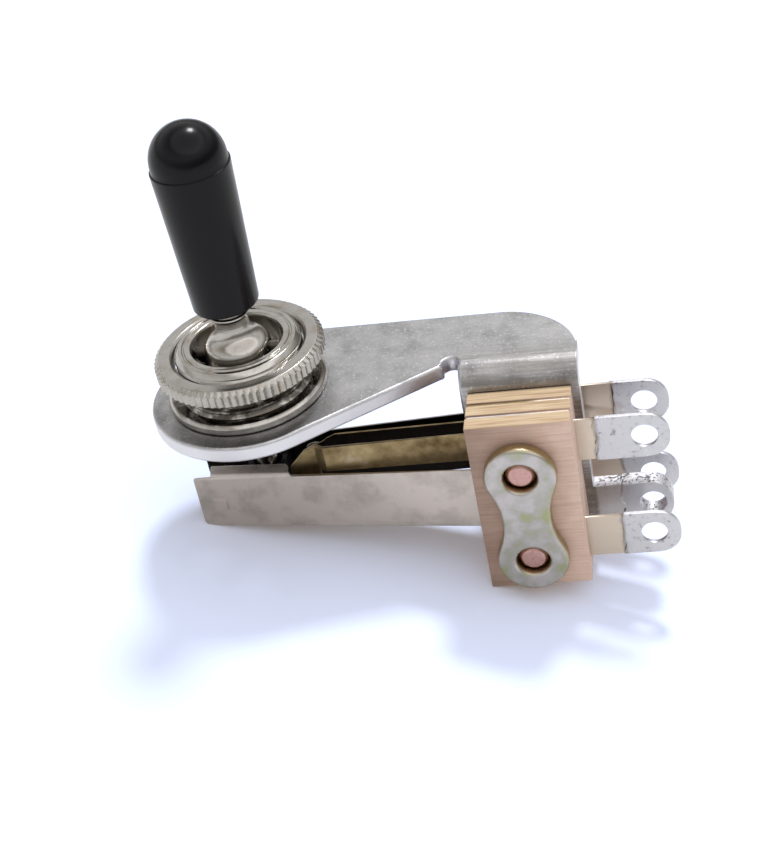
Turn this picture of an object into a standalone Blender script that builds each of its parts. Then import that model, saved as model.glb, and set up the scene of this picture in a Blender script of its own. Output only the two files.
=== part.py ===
"""Right-angle three-way toggle switch of the leaf type, as used to select guitar pickups.

Frame: the origin lies on the bushing's axis at the bracket's top face, +Z is up along the
bushing, +X runs to the leaf stack and its solder lugs, and +Y is the back of the switch.
Sizes below are in millimetres and become metres where a mesh is made. Angles are in degrees.
"""

import math

import bmesh
import bpy
from mathutils import Matrix, Vector

MM = 0.001
ROUND_STEPS = 44
HOLE_STEPS = 24
CORNER_STEPS = 6

# General clearances, and how far a cutter passes what it cuts
RUN_CLEARANCE = 0.25
SLIP_CLEARANCE = 0.15
LAYER_GAP = 0.06
SEAT_GAP = 0.1
CUT_REACH = 1.0

# Folded bracket
SHEET_T = 1.6
PLATE_END_R = 9.25
PLATE_END_Y = -0.15
PLATE_RIGHT_X = 30.6
PLATE_CORNER_INSET = 0.1
BEND_OUTER_R = 2.3
BEND_Y = BEND_OUTER_R - SHEET_T / 2
PLATE_CORNER_R = PLATE_END_Y + PLATE_END_R - BEND_Y - PLATE_CORNER_INSET
DIAGONAL_END = (18.4, BEND_Y - 0.55)
FLANGE_LEFT_X = 19.6
FLANGE_RIGHT_X = PLATE_RIGHT_X
FLANGE_STEP_Z = -4.6
FLANGE_OVERLAP = 1.6
NOTCH_R = 0.75
NOTCH_CENTRE = (18.95, BEND_Y - 0.25)

# Bushing, nut and lever
THREAD_R = 5.95
THREAD_CHAMFER = 0.5
THREAD_FOOT = 0.3
BUSHING_TOP_Z = 5.5
BUSHING_BOTTOM_Z = -2.5
SHOULDER_R = 7.45
SHOULDER_H = 0.9
SEAT_DEPTH = 0.05
SHOULDER_CHAMFER = 0.3
STAKE_R = 6.9
STAKE_H = 0.7
STAKE_CHAMFER = 0.3
PLATE_HOLE_R = THREAD_R + RUN_CLEARANCE
SHOULDER_SEAT_R = SHOULDER_R + SLIP_CLEARANCE
MOUTH_R = 4.3
MOUTH_LIP = 0.15
RIM_FLAT_R = MOUTH_R + 0.45
LEVER_PIVOT_Z = 4.5
BALL_R = 3.15
BORE_R = BALL_R + RUN_CLEARANCE
BOWL_FOOT_Z = LEVER_PIVOT_Z - 0.6
BORE_FOOT_Z = 1.2
LOWER_BORE_R = 4.6
PIN_R = 0.5
PIN_HALF_LENGTH = MOUTH_R - 0.3
PIN_HOLE_R = PIN_R + SLIP_CLEARANCE
NUT_R = 7.95
NUT_TOP_R = 7.45
NUT_HOLE_R = THREAD_R + SLIP_CLEARANCE
NUT_BOTTOM_Z = 3.4
NUT_H = 1.55
NUT_TOP_CHAMFER = 0.4
NUT_FOOT_CHAMFER = 0.12
NUT_HOLE_CHAMFER = 0.35
NUT_RIDGES = 72
NUT_RIDGE_DEPTH = 0.16
NECK_R = 1.7
NECK_START = 3.1
FLARE_ANGLE = 45.0
SHAFT_LOWER_R = 1.15
SHAFT_CHAMFER = 0.25
SHAFT_TOP_Z = 20.6
LEVER_FOOT_Z = -12.6
ACTUATOR_Z = -10.8
ACTUATOR_HALF_W = 1.9
ACTUATOR_GAP = 0.35

# Lever tip
TIP_BOTTOM_Z = 9.6
TIP_STEP_Z = 23.8
TIP_TOP_Z = 27.75
TIP_BOTTOM_R = 3.05
TIP_STEP_R = 3.62
TIP_DOME_R = 3.46
TIP_EDGE = 0.2
TIP_LIP = 0.1
TIP_SOCKET_R = NECK_R + 0.3
TIP_SOCKET_TOP_Z = SHAFT_TOP_Z + 0.4

# Leaf stack
BLOCK_LEFT_X = 20.3
BLOCK_RIGHT_X = 29.85
BLOCK_TOP_Z = 0.1 - BEND_OUTER_R
BLOCK_BOTTOM_Z = -21.1
LEAF_T = 0.32
LEAF_PITCH = 1.85
OUTER_INSULATOR_T = 1.58
SCREW_X = 24.8
UPPER_SCREW_Z = -7.35
LOWER_SCREW_Z = -17.1
SCREW_R = 1.42
SLEEVE_INNER_R = SCREW_R + SLIP_CLEARANCE
SLEEVE_OUTER_R = SLEEVE_INNER_R + 0.48
SLEEVE_HOLE_R = SLEEVE_OUTER_R + SLIP_CLEARANCE
CLAMP_T = 1.4
CLAMP_LOBE_R = 3.35
CLAMP_WAIST_HALF = 2.25
CLAMP_HOLE_R = SCREW_R + SLIP_CLEARANCE
CLAMP_EDGE_R = 0.35
SCREW_RECESS = 0.5
WASHER_R = 3.0
WASHER_T = 0.5
HEAD_R = 2.55
HEAD_H = 1.7
SLOT_W = 0.7
SLOT_DEPTH = 0.8

# Leaves: the part inside the block, the blades and the solder lugs
LEAF_ROOT_INSET = 0.1
LEAF_ROOT_LEFT_X = BLOCK_LEFT_X + LEAF_ROOT_INSET
LEAF_ROOT_RIGHT_X = BLOCK_RIGHT_X - LEAF_ROOT_INSET
LEAF_ROOT_TOP_Z = BLOCK_TOP_Z - LEAF_ROOT_INSET
LEAF_ROOT_BOTTOM_Z = BLOCK_BOTTOM_Z + LEAF_ROOT_INSET
FLANGE_STEP_X = LEAF_ROOT_LEFT_X
FLANGE_BOTTOM_Z = LEAF_ROOT_BOTTOM_Z
OUTER_BEND_X = BLOCK_LEFT_X - 0.4
OUTER_TIP_X = -6.95
OUTER_TIP_CHAMFER = 0.15
OUTER_TOP_Z = -8.2
OUTER_ROOT_BOTTOM_Z = -14.9
OUTER_TIP_BOTTOM_Z = -13.9
OUTER_TIP_CORNER_R = 0.6
TAB_LEFT_X = -5.2
TAB_RIGHT_X = 2.5
TAB_LENGTH = 1.0
TAB_CORNER = 0.3
TAB_FOLDS = ((OUTER_TOP_Z - 0.15, 38.0), (OUTER_TOP_Z + 0.3, 36.0))
DIMPLE_X = -4.85
DIMPLE_Z = -11.2
DIMPLE_SIZE = 1.3
DIMPLE_RISE = 0.25
DIMPLE_WALL = 0.2
INNER_TIP_X = ACTUATOR_HALF_W + 0.7
INNER_FOOT_W = 2.9
INNER_FOOT_CHAMFER = 0.5
INNER_NOSE_W = 1.6
INNER_NOSE_DROPS = (0.25, 0.9, 2.6)
FRONT_INNER_TOP_Z = -5.4
FRONT_INNER_BOTTOM_Z = -8.43
FRONT_INNER_FOOT_Z = -11.2
REAR_INNER_TOP_Z = -7.9
REAR_INNER_BOTTOM_Z = -11.3
CONTACT_R = 0.95
CONTACT_X = INNER_TIP_X + CONTACT_R + 0.45
CONTACT_Z = -10.0
JOGGLE_LENGTH = 0.9
JOGGLE_END_X = CONTACT_X + CONTACT_R + 0.35
JOGGLE_START_X = JOGGLE_END_X + JOGGLE_LENGTH
JOGGLE_OFFSET = 0.65
CONTACT_T = 0.3
CONTACT_SEAT = 0.12
CONTACT_GAP = 0.21

LUG_END_R = 2.05
LUG_HALF_W = LUG_END_R + 0.27
LUG_HOLE_X = 36.05
LUG_HOLE_R = 1.24
OUTER_LUG_Z = -17.05
OUTER_LUG_END_X = 38.45
INNER_LUG_Z = -7.1
INNER_LUG_END_X = 38.3
GROUND_LUG_Z = -16.55
GROUND_LUG_HALF_W = LUG_HALF_W + 0.03
GROUND_LUG_END_X = 37.9
TIN_START_X = 33.2
FRONT_INNER_TIN_X = 31.6
TIN_T = 0.06

# Places worked out from the sizes above
FLANGE_FRONT_Y = -SHEET_T / 2
INNER_LEAF_Y = SHEET_T / 2 + LEAF_PITCH
OUTER_LEAF_Y = INNER_LEAF_Y + LEAF_PITCH
BLOCK_FACE_Y = OUTER_LEAF_Y + LEAF_T / 2 + LAYER_GAP + OUTER_INSULATOR_T
CLAMP_BACK_Y = BLOCK_FACE_Y + LAYER_GAP
CLAMP_FACE_Y = CLAMP_BACK_Y + CLAMP_T
SCREW_ZS = (UPPER_SCREW_Z, LOWER_SCREW_Z)
NUT_TOP_Z = NUT_BOTTOM_Z + NUT_H
INNER_FOOT_FACE_Y = INNER_LEAF_Y - JOGGLE_OFFSET + LEAF_T / 2
CONTACT_STACK = 2 * (CONTACT_SEAT + CONTACT_T) + CONTACT_GAP

# Each outer leaf leans in from the block until its contact meets the inner one,
# and the barrel on the lever's foot fills what is left between the two outer leaves
OUTER_LEAN = OUTER_LEAF_Y - LEAF_T / 2 - INNER_FOOT_FACE_Y - CONTACT_STACK
OUTER_SLOPE = OUTER_LEAN / (OUTER_BEND_X - CONTACT_X)
OUTER_FACE_AT_BARREL_Y = OUTER_LEAF_Y - LEAF_T / 2 - OUTER_SLOPE * (OUTER_BEND_X + ACTUATOR_HALF_W)
ACTUATOR_R = OUTER_FACE_AT_BARREL_Y - ACTUATOR_GAP


def arc(cx, cy, radius, start, end, steps):
    """Points of an arc about (cx, cy) from the start angle to the end angle, in degrees."""
    points = []
    for i in range(steps + 1):
        angle = math.radians(start + (end - start) * i / steps)
        points.append((cx + radius * math.cos(angle), cy + radius * math.sin(angle)))
    return points


def ring(cx, cy, radius, steps=HOLE_STEPS):
    """A closed round outline."""
    points = []
    for i in range(steps):
        angle = 2 * math.pi * (i + 0.5) / steps
        points.append((cx + radius * math.cos(angle), cy + radius * math.sin(angle)))
    return points


def mesh_object(name, bm):
    bmesh.ops.recalc_face_normals(bm, faces=bm.faces)
    mesh = bpy.data.meshes.new(name)
    bm.to_mesh(mesh)
    bm.free()
    obj = bpy.data.objects.new(name, mesh)
    bpy.context.collection.objects.link(obj)
    return obj


def prism(name, outline, low, high, normal="Z"):
    """Extrude a closed outline between two levels of the axis `normal`.

    The outline is in (x, y) for Z, in (x, z) for Y and in (y, z) for X.
    """
    place = {
        "X": lambda u, v, w: (w, u, v),
        "Y": lambda u, v, w: (u, w, v),
        "Z": lambda u, v, w: (u, v, w),
    }[normal]
    bm = bmesh.new()
    rows = []
    for level in (low, high):
        rows.append([bm.verts.new(Vector(place(u, v, level)) * MM) for u, v in outline])
    count = len(outline)
    bm.faces.new(rows[0])
    bm.faces.new(rows[1])
    for i in range(count):
        j = (i + 1) % count
        bm.faces.new((rows[0][i], rows[0][j], rows[1][j], rows[1][i]))
    return mesh_object(name, bm)


def lathe(name, profile, steps=ROUND_STEPS):
    """Revolve a closed outline of (radius, z) points about Z. A radius of 0 is a pole."""
    bm = bmesh.new()
    rings = []
    for radius, z in profile:
        if radius == 0:
            rings.append([bm.verts.new((0, 0, z * MM))] * steps)
            continue
        verts = []
        for i in range(steps):
            angle = 2 * math.pi * i / steps
            verts.append(bm.verts.new(Vector((radius * math.cos(angle), radius * math.sin(angle), z)) * MM))
        rings.append(verts)
    for k, lower in enumerate(rings):
        upper = rings[(k + 1) % len(rings)]
        if lower[0] is lower[1] and upper[0] is upper[1]:
            continue
        for i in range(steps):
            j = (i + 1) % steps
            corners = []
            for vert in (lower[i], lower[j], upper[j], upper[i]):
                if vert not in corners:
                    corners.append(vert)
            bm.faces.new(corners)
    return mesh_object(name, bm)


def rod(name, centre, radius, start, end, axis, steps=HOLE_STEPS):
    """A plain cylinder along an axis, through the two given coordinates of `centre`."""
    return prism(name, ring(centre[0], centre[1], radius, steps), start, end, axis)


def block(name, low, high):
    outline = [(low[0], low[1]), (high[0], low[1]), (high[0], high[1]), (low[0], high[1])]
    return prism(name, outline, low[2], high[2])


def shape(target, tool, operation):
    """Join, cut or intersect `target` with `tool`, and throw the tool away."""
    modifier = target.modifiers.new(operation.title(), "BOOLEAN")
    modifier.operation = operation
    modifier.solver = "EXACT"
    modifier.object = tool
    bpy.context.view_layer.update()
    graph = bpy.context.evaluated_depsgraph_get()
    result = bpy.data.meshes.new_from_object(target.evaluated_get(graph))
    target.modifiers.clear()
    for old, keep in ((target.data, result), (tool.data, None)):
        if keep:
            target.data = keep
        else:
            bpy.data.objects.remove(tool)
        bpy.data.meshes.remove(old)
    return target


def union(target, tool):
    return shape(target, tool, "UNION")


def cut(target, tool):
    return shape(target, tool, "DIFFERENCE")


def bend_along_x(obj, stations):
    """Shift a sheet in Y by straight ramps between (x, shift) stations, from right to left."""
    bm = bmesh.new()
    bm.from_mesh(obj.data)
    for x, _ in stations:
        bmesh.ops.bisect_plane(
            bm, geom=bm.verts[:] + bm.edges[:] + bm.faces[:], dist=1e-7,
            plane_co=(x * MM, 0, 0), plane_no=(1, 0, 0))
    for vert in bm.verts:
        x = vert.co.x / MM
        shift = 0.0
        for (x0, s0), (x1, s1) in zip(stations, stations[1:]):
            share = min(1.0, max(0.0, (x0 - x) / (x0 - x1)))
            shift += share * (s1 - s0)
        vert.co.y += shift * MM
    bm.to_mesh(obj.data)
    bm.free()


def fold_back(obj, folds, back, side):
    """Fold what stands above each (z, angle) line back, away from the leaf's outer face.

    `back` is the y of the sheet's inner face there, `side` is +1 where back is +Y.
    """
    bm = bmesh.new()
    bm.from_mesh(obj.data)
    for z, _ in folds:
        bmesh.ops.bisect_plane(
            bm, geom=bm.verts[:] + bm.edges[:] + bm.faces[:], dist=1e-7,
            plane_co=(0, 0, z * MM), plane_no=(0, 0, 1))
    for z, angle in reversed(folds):
        turn = Matrix.Rotation(math.radians(-side * angle), 3, "X")
        pivot = Vector((0, back * MM, z * MM))
        for vert in bm.verts:
            if vert.co.z > (z + 1e-3) * MM and TAB_LEFT_X - 0.1 < vert.co.x / MM < TAB_RIGHT_X + 0.1:
                vert.co = pivot + turn @ (vert.co - pivot)
    bm.to_mesh(obj.data)
    bm.free()


def finish(obj, material, smooth=None, origin=None):
    """Give the piece its material, its shading and its origin."""
    obj.data.materials.clear()
    obj.data.materials.append(material)
    if smooth:
        obj.data.shade_smooth()
        obj.data.set_sharp_from_angle(angle=math.radians(smooth))
    if origin:
        point = Vector(origin) * MM
        obj.data.transform(Matrix.Translation(-point))
        obj.location = point
    return obj


def material(name, colour, roughness, metallic):
    mat = bpy.data.materials.new(name)
    mat.use_nodes = True
    shader = mat.node_tree.nodes["Principled BSDF"]
    shader.inputs["Base Color"].default_value = (*colour, 1.0)
    shader.inputs["Roughness"].default_value = roughness
    shader.inputs["Metallic"].default_value = metallic
    mat.diffuse_color = (*colour, 1.0)
    return mat


def plate_outline():
    """Round end about the bushing, diagonal front edge, straight back and a big rounded corner."""
    cx, cy = 0.0, PLATE_END_Y
    px, py = DIAGONAL_END
    distance = math.hypot(px - cx, py - cy)
    to_centre = math.degrees(math.atan2(py - cy, px - cx))
    tangent = to_centre - math.degrees(math.acos(PLATE_END_R / distance))
    back_y = PLATE_END_Y + PLATE_END_R
    corner_x = PLATE_RIGHT_X - PLATE_CORNER_R
    corner_y = back_y - PLATE_CORNER_R
    points = [(px, BEND_Y), (PLATE_RIGHT_X, BEND_Y)]
    points += arc(corner_x, corner_y, PLATE_CORNER_R, 0, 90, 3 * CORNER_STEPS)
    points += arc(cx, cy, PLATE_END_R, 90, 360 + tangent, 40)
    points.append((px, py))
    return points


def fold_profile():
    """Section of the right part in (y, z): the plate's strip, the bend and the flange."""
    centre_y = BEND_Y
    centre_z = -BEND_OUTER_R
    inner_r = BEND_OUTER_R - SHEET_T
    overlap_y = centre_y + SHEET_T
    points = [(overlap_y, -SHEET_T), (overlap_y, 0.0)]
    points += arc(centre_y, centre_z, BEND_OUTER_R, 90, 180, CORNER_STEPS)
    points += [(FLANGE_FRONT_Y, FLANGE_STEP_Z), (-FLANGE_FRONT_Y, FLANGE_STEP_Z)]
    points += arc(centre_y, centre_z, inner_r, 180, 90, CORNER_STEPS)
    return points


def flange_outline():
    """The flange below the bend in (x, z), with the ground lug running out of its right edge."""
    points = [(FLANGE_STEP_X, FLANGE_BOTTOM_Z), (FLANGE_RIGHT_X, FLANGE_BOTTOM_Z)]
    points += lug_outline(FLANGE_RIGHT_X, GROUND_LUG_Z, GROUND_LUG_HALF_W, GROUND_LUG_END_X)
    top_z = FLANGE_STEP_Z + FLANGE_OVERLAP
    points += [(FLANGE_RIGHT_X, top_z), (FLANGE_STEP_X, top_z)]
    return points


def lug_outline(start_x, z, half_w, end_x, grow=0.0):
    """A solder lug in (x, z) from `start_x` to its rounded end, bottom edge first.

    `grow` makes it larger all round, for the tin on it.
    """
    radius = LUG_END_R + grow
    half = half_w + grow
    centre_x = end_x - LUG_END_R
    points = [(start_x, z - half)]
    points += arc(centre_x, z - half + radius, radius, 270, 360, CORNER_STEPS)
    points += arc(centre_x, z + half - radius, radius, 0, 90, CORNER_STEPS)
    points.append((start_x, z + half))
    return points


def tin_lug(piece, y, sheet_t, z, half_w, end_x, tin_x=TIN_START_X):
    """Coat a lug's end with solder tin all round, then cut the eye through both."""
    coat = lug_outline(tin_x, z, half_w, end_x, TIN_T)
    reach = sheet_t / 2 + TIN_T
    union(piece, prism("tin", coat, y - reach, y + reach, "Y"))
    eye = ring(LUG_HOLE_X, z, LUG_HOLE_R)
    cut(piece, prism("lug_eye", eye, y - reach - CUT_REACH, y + reach + CUT_REACH, "Y"))


def build_bracket(steel):
    """One folded sheet: plate, bend, flange and ground lug."""
    bracket = prism("bracket_frame", plate_outline(), -SHEET_T, 0.0)
    fold = prism("fold", fold_profile(), FLANGE_LEFT_X, FLANGE_RIGHT_X, "X")
    flange = prism("flange", flange_outline(), FLANGE_FRONT_Y, -FLANGE_FRONT_Y, "Y")
    union(bracket, fold)
    union(bracket, flange)
    low = -SHEET_T - CUT_REACH
    cut(bracket, rod("bushing_hole", (0, 0), PLATE_HOLE_R, low, CUT_REACH, "Z", ROUND_STEPS))
    cut(bracket, rod("shoulder_seat", (0, 0), SHOULDER_SEAT_R, -SEAT_DEPTH, CUT_REACH, "Z", ROUND_STEPS))
    cut(bracket, rod("relief_notch", NOTCH_CENTRE, NOTCH_R, low, CUT_REACH, "Z"))
    for z in SCREW_ZS:
        cut(bracket, rod("sleeve_hole", (SCREW_X, z), SLEEVE_HOLE_R, -SHEET_T, SHEET_T, "Y"))
    tin_lug(bracket, 0.0, SHEET_T, GROUND_LUG_Z, GROUND_LUG_HALF_W, GROUND_LUG_END_X)
    return finish(bracket, steel)


def build_bushing(nickel):
    """Turned bushing with a shoulder on the bracket, a bowl for the ball and a staked foot."""
    lip_z = BUSHING_TOP_Z - MOUTH_LIP
    bowl = []
    for i in range(CORNER_STEPS + 1):
        angle = math.radians(90 * i / CORNER_STEPS)
        radius = MOUTH_R - (MOUTH_R - BORE_R) * math.sin(angle)
        bowl.append((radius, lip_z - (lip_z - BOWL_FOOT_Z) * (1 - math.cos(angle))))
    stake_top = BUSHING_BOTTOM_Z + STAKE_H
    seat_z = SEAT_GAP - SEAT_DEPTH
    shoulder_top = seat_z + SHOULDER_H
    profile = [
        (LOWER_BORE_R, BUSHING_BOTTOM_Z),
        (STAKE_R - STAKE_CHAMFER, BUSHING_BOTTOM_Z),
        (STAKE_R, BUSHING_BOTTOM_Z + STAKE_CHAMFER),
        (STAKE_R, stake_top),
        (THREAD_R, stake_top),
        (THREAD_R, seat_z),
        (SHOULDER_R, seat_z),
        (SHOULDER_R, shoulder_top - SHOULDER_CHAMFER),
        (SHOULDER_R - SHOULDER_CHAMFER, shoulder_top),
        (THREAD_R + THREAD_FOOT, shoulder_top),
        (THREAD_R, shoulder_top + THREAD_FOOT),
        (THREAD_R, BUSHING_TOP_Z - THREAD_CHAMFER),
        (THREAD_R - THREAD_CHAMFER, BUSHING_TOP_Z),
        (RIM_FLAT_R, BUSHING_TOP_Z),
        *bowl,
        (BORE_R, BORE_FOOT_Z),
    ]
    bushing = lathe("threaded_bushing", profile)
    reach = PIN_HALF_LENGTH + SLIP_CLEARANCE
    slot = block("pin_slot", (-reach, -PIN_HOLE_R, BUSHING_BOTTOM_Z - CUT_REACH),
                 (reach, PIN_HOLE_R, LEVER_PIVOT_Z))
    union(slot, rod("slot_crown", (0, LEVER_PIVOT_Z), PIN_HOLE_R, -reach, reach, "X"))
    cut(bushing, slot)
    return finish(bushing, nickel, 35)


def build_nut(nickel):
    """Round nut with a straight-knurled rim and a chamfered top."""
    rim = []
    for i in range(NUT_RIDGES):
        for share, depth in ((0.0, 0.0), (0.3, 0.0), (0.5, 1.0), (0.8, 1.0)):
            angle = 2 * math.pi * (i + share) / NUT_RIDGES
            radius = NUT_R - depth * NUT_RIDGE_DEPTH
            rim.append((radius * math.cos(angle), radius * math.sin(angle)))
    nut = prism("knurled_nut", rim, NUT_BOTTOM_Z, NUT_TOP_Z)
    margin = 0.01
    envelope_r = NUT_R + 5 * margin
    envelope = lathe("nut_envelope", [
        (NUT_HOLE_R + NUT_HOLE_CHAMFER, NUT_BOTTOM_Z - margin),
        (NUT_R - NUT_FOOT_CHAMFER, NUT_BOTTOM_Z - margin),
        (envelope_r, NUT_BOTTOM_Z + NUT_FOOT_CHAMFER),
        (envelope_r, NUT_TOP_Z - NUT_TOP_CHAMFER),
        (NUT_TOP_R, NUT_TOP_Z + margin),
        (NUT_HOLE_R + NUT_HOLE_CHAMFER, NUT_TOP_Z + margin),
        (NUT_HOLE_R, NUT_TOP_Z - NUT_HOLE_CHAMFER),
        (NUT_HOLE_R, NUT_BOTTOM_Z + NUT_HOLE_CHAMFER),
    ])
    shape(nut, envelope, "INTERSECT")
    return finish(nut, nickel, 30, (0, 0, NUT_BOTTOM_Z))


def build_lever(nickel):
    """Turned lever: upper shaft, neck flaring into the ball, and the lower shaft."""
    profile = [(0, LEVER_FOOT_Z), (SHAFT_LOWER_R - SHAFT_CHAMFER, LEVER_FOOT_Z)]
    profile += [(SHAFT_LOWER_R, LEVER_FOOT_Z + SHAFT_CHAMFER)]
    low_angle = math.degrees(math.acos(SHAFT_LOWER_R / BALL_R))
    profile += arc(0, LEVER_PIVOT_Z, BALL_R, -low_angle, FLARE_ANGLE, 9)
    flare_r, flare_z = profile[-1]
    neck_z = LEVER_PIVOT_Z + NECK_START
    for i in range(1, CORNER_STEPS + 1):
        share = i / CORNER_STEPS
        ease = (1 - share) ** 2
        profile.append((NECK_R + (flare_r - NECK_R) * ease, flare_z + (neck_z - flare_z) * share))
    profile += [(NECK_R, SHAFT_TOP_Z - SHAFT_CHAMFER), (NECK_R - SHAFT_CHAMFER, SHAFT_TOP_Z)]
    profile.append((0, SHAFT_TOP_Z))
    lever = lathe("toggle_lever", profile)
    reach = BALL_R + CUT_REACH
    cut(lever, rod("pin_hole", (0, LEVER_PIVOT_Z), PIN_HOLE_R, -reach, reach, "X"))
    return finish(lever, nickel, 35, (0, 0, LEVER_PIVOT_Z))


def build_tip(plastic):
    """Tapered barrel with a dome standing on a small step, pushed on to the shaft."""
    dome_centre = TIP_TOP_Z - TIP_DOME_R
    profile = [
        (TIP_SOCKET_R, TIP_BOTTOM_Z),
        (TIP_BOTTOM_R - TIP_EDGE, TIP_BOTTOM_Z),
        (TIP_BOTTOM_R, TIP_BOTTOM_Z + TIP_EDGE),
        (TIP_STEP_R, TIP_STEP_Z - TIP_LIP),
        (TIP_STEP_R - TIP_LIP, TIP_STEP_Z),
        (TIP_DOME_R, TIP_STEP_Z),
    ]
    profile += arc(0, dome_centre, TIP_DOME_R, 0, 90, 9)[:-1]
    profile += [(0, TIP_TOP_Z), (0, TIP_SOCKET_TOP_Z), (TIP_SOCKET_R, TIP_SOCKET_TOP_Z)]
    tip = lathe("lever_tip", profile)
    return finish(tip, plastic, 30, (0, 0, LEVER_PIVOT_Z))


def build_pin(steel):
    pin = rod("pivot_pin", (0, LEVER_PIVOT_Z), PIN_R, -PIN_HALF_LENGTH, PIN_HALF_LENGTH, "X")
    return finish(pin, steel, 40, (0, 0, LEVER_PIVOT_Z))


def build_actuator(plastic):
    """Moulded barrel on the lever's foot that pushes the outer leaves apart."""
    barrel = prism("leaf_actuator", ring(0, ACTUATOR_Z, ACTUATOR_R, 40), -ACTUATOR_HALF_W,
                   ACTUATOR_HALF_W, "X")
    socket_r = SHAFT_LOWER_R + SLIP_CLEARANCE
    floor_z = LEVER_FOOT_Z - SLIP_CLEARANCE
    cut(barrel, rod("socket", (0, 0), socket_r, floor_z, ACTUATOR_Z + ACTUATOR_R + CUT_REACH, "Z"))
    return finish(barrel, plastic, 40, (0, 0, LEVER_PIVOT_Z))


def outer_blade_outline():
    """Left part of an outer leaf in (x, z), top edge first, with its tab standing unfolded."""
    tab_top = OUTER_TOP_Z + TAB_LENGTH
    slope = (OUTER_TIP_BOTTOM_Z - OUTER_ROOT_BOTTOM_Z) / (LEAF_ROOT_LEFT_X - OUTER_TIP_X)
    corner_x = OUTER_TIP_X + OUTER_TIP_CORNER_R
    points = [(LEAF_ROOT_LEFT_X, OUTER_TOP_Z), (TAB_RIGHT_X + TAB_CORNER, OUTER_TOP_Z)]
    points += [(TAB_RIGHT_X, OUTER_TOP_Z + TAB_CORNER), (TAB_RIGHT_X, tab_top - TAB_CORNER)]
    points += [(TAB_RIGHT_X - TAB_CORNER, tab_top), (TAB_LEFT_X, tab_top), (TAB_LEFT_X, OUTER_TOP_Z)]
    points += [(OUTER_TIP_X + OUTER_TIP_CHAMFER, OUTER_TOP_Z)]
    points += [(OUTER_TIP_X, OUTER_TOP_Z - OUTER_TIP_CHAMFER)]
    points += arc(corner_x, OUTER_TIP_BOTTOM_Z + OUTER_TIP_CORNER_R, OUTER_TIP_CORNER_R, 180, 270,
                  CORNER_STEPS)
    points.append((LEAF_ROOT_LEFT_X, OUTER_TIP_BOTTOM_Z - slope * (LEAF_ROOT_LEFT_X - corner_x)))
    return points


def inner_blade_outline(top, bottom, foot):
    """Left part of an inner leaf in (x, z), top edge first, with a foot that reaches the contact."""
    foot_right = INNER_TIP_X + INNER_FOOT_W
    nose_xs = (foot_right, INNER_TIP_X + INNER_NOSE_W, INNER_TIP_X)
    points = [(LEAF_ROOT_LEFT_X, top)]
    points += [(x, top - drop) for x, drop in zip(nose_xs, INNER_NOSE_DROPS)]
    points += [(INNER_TIP_X, foot + INNER_FOOT_CHAMFER), (INNER_TIP_X + INNER_FOOT_CHAMFER, foot)]
    if foot < bottom:
        points += [(foot_right - INNER_FOOT_CHAMFER, foot), (foot_right, foot + INNER_FOOT_CHAMFER)]
        points.append((foot_right, bottom))
    points.append((LEAF_ROOT_LEFT_X, bottom))
    return points


def leaf_sheet(name, y, blade, lug_z, lug_end_x, tin_x=TIN_START_X):
    """Flat blank of a leaf: the blade, the root inside the block and the tinned lug."""
    outline = [(LEAF_ROOT_LEFT_X, LEAF_ROOT_TOP_Z)] + blade
    outline += [(LEAF_ROOT_LEFT_X, LEAF_ROOT_BOTTOM_Z), (LEAF_ROOT_RIGHT_X, LEAF_ROOT_BOTTOM_Z)]
    outline += lug_outline(LEAF_ROOT_RIGHT_X, lug_z, LUG_HALF_W, lug_end_x)
    outline.append((LEAF_ROOT_RIGHT_X, LEAF_ROOT_TOP_Z))
    leaf = prism(name, outline, y - LEAF_T / 2, y + LEAF_T / 2, "Y")
    tin_lug(leaf, y, LEAF_T, lug_z, LUG_HALF_W, lug_end_x, tin_x)
    for z in SCREW_ZS:
        cut(leaf, rod("sleeve_hole", (SCREW_X, z), SLEEVE_HOLE_R, y - CUT_REACH, y + CUT_REACH, "Y"))
    return leaf


def build_outer_leaf(name, side, metal):
    """Long outer leaf. `side` is -1 at the front and +1 at the back."""
    y = side * OUTER_LEAF_Y
    leaf = leaf_sheet(name, y, outer_blade_outline(), OUTER_LUG_Z, OUTER_LUG_END_X)
    face = y + side * LEAF_T / 2
    back = y - side * LEAF_T / 2
    fold_back(leaf, TAB_FOLDS, back, -side)
    half = DIMPLE_SIZE / 2
    near, far = sorted((y, face + side * DIMPLE_RISE))
    union(leaf, block("dimple", (DIMPLE_X - half, near, DIMPLE_Z - half),
                      (DIMPLE_X + half, far, DIMPLE_Z + half)))
    half -= DIMPLE_WALL
    near, far = sorted((back - side * CUT_REACH, back + side * DIMPLE_RISE))
    cut(leaf, block("hollow", (DIMPLE_X - half, near, DIMPLE_Z - half),
                    (DIMPLE_X + half, far, DIMPLE_Z + half)))
    tip_shift = -side * OUTER_SLOPE * (OUTER_BEND_X - OUTER_TIP_X)
    bend_along_x(leaf, ((OUTER_BEND_X, 0.0), (OUTER_TIP_X, tip_shift)))
    return finish(leaf, metal, None, (BLOCK_LEFT_X, y, 0))


def build_inner_leaf(name, side, metal):
    """Short, stiff inner leaf whose foot is stepped towards the middle at its contact."""
    y = side * INNER_LEAF_Y
    if side < 0:
        blade = inner_blade_outline(FRONT_INNER_TOP_Z, FRONT_INNER_BOTTOM_Z, FRONT_INNER_FOOT_Z)
        tin_x = FRONT_INNER_TIN_X
    else:
        blade = inner_blade_outline(REAR_INNER_TOP_Z, REAR_INNER_BOTTOM_Z, REAR_INNER_BOTTOM_Z)
        tin_x = TIN_START_X
    leaf = leaf_sheet(name, y, blade, INNER_LUG_Z, INNER_LUG_END_X, tin_x)
    bend_along_x(leaf, ((JOGGLE_START_X, 0.0), (JOGGLE_END_X, -side * JOGGLE_OFFSET)))
    return finish(leaf, metal)


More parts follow.
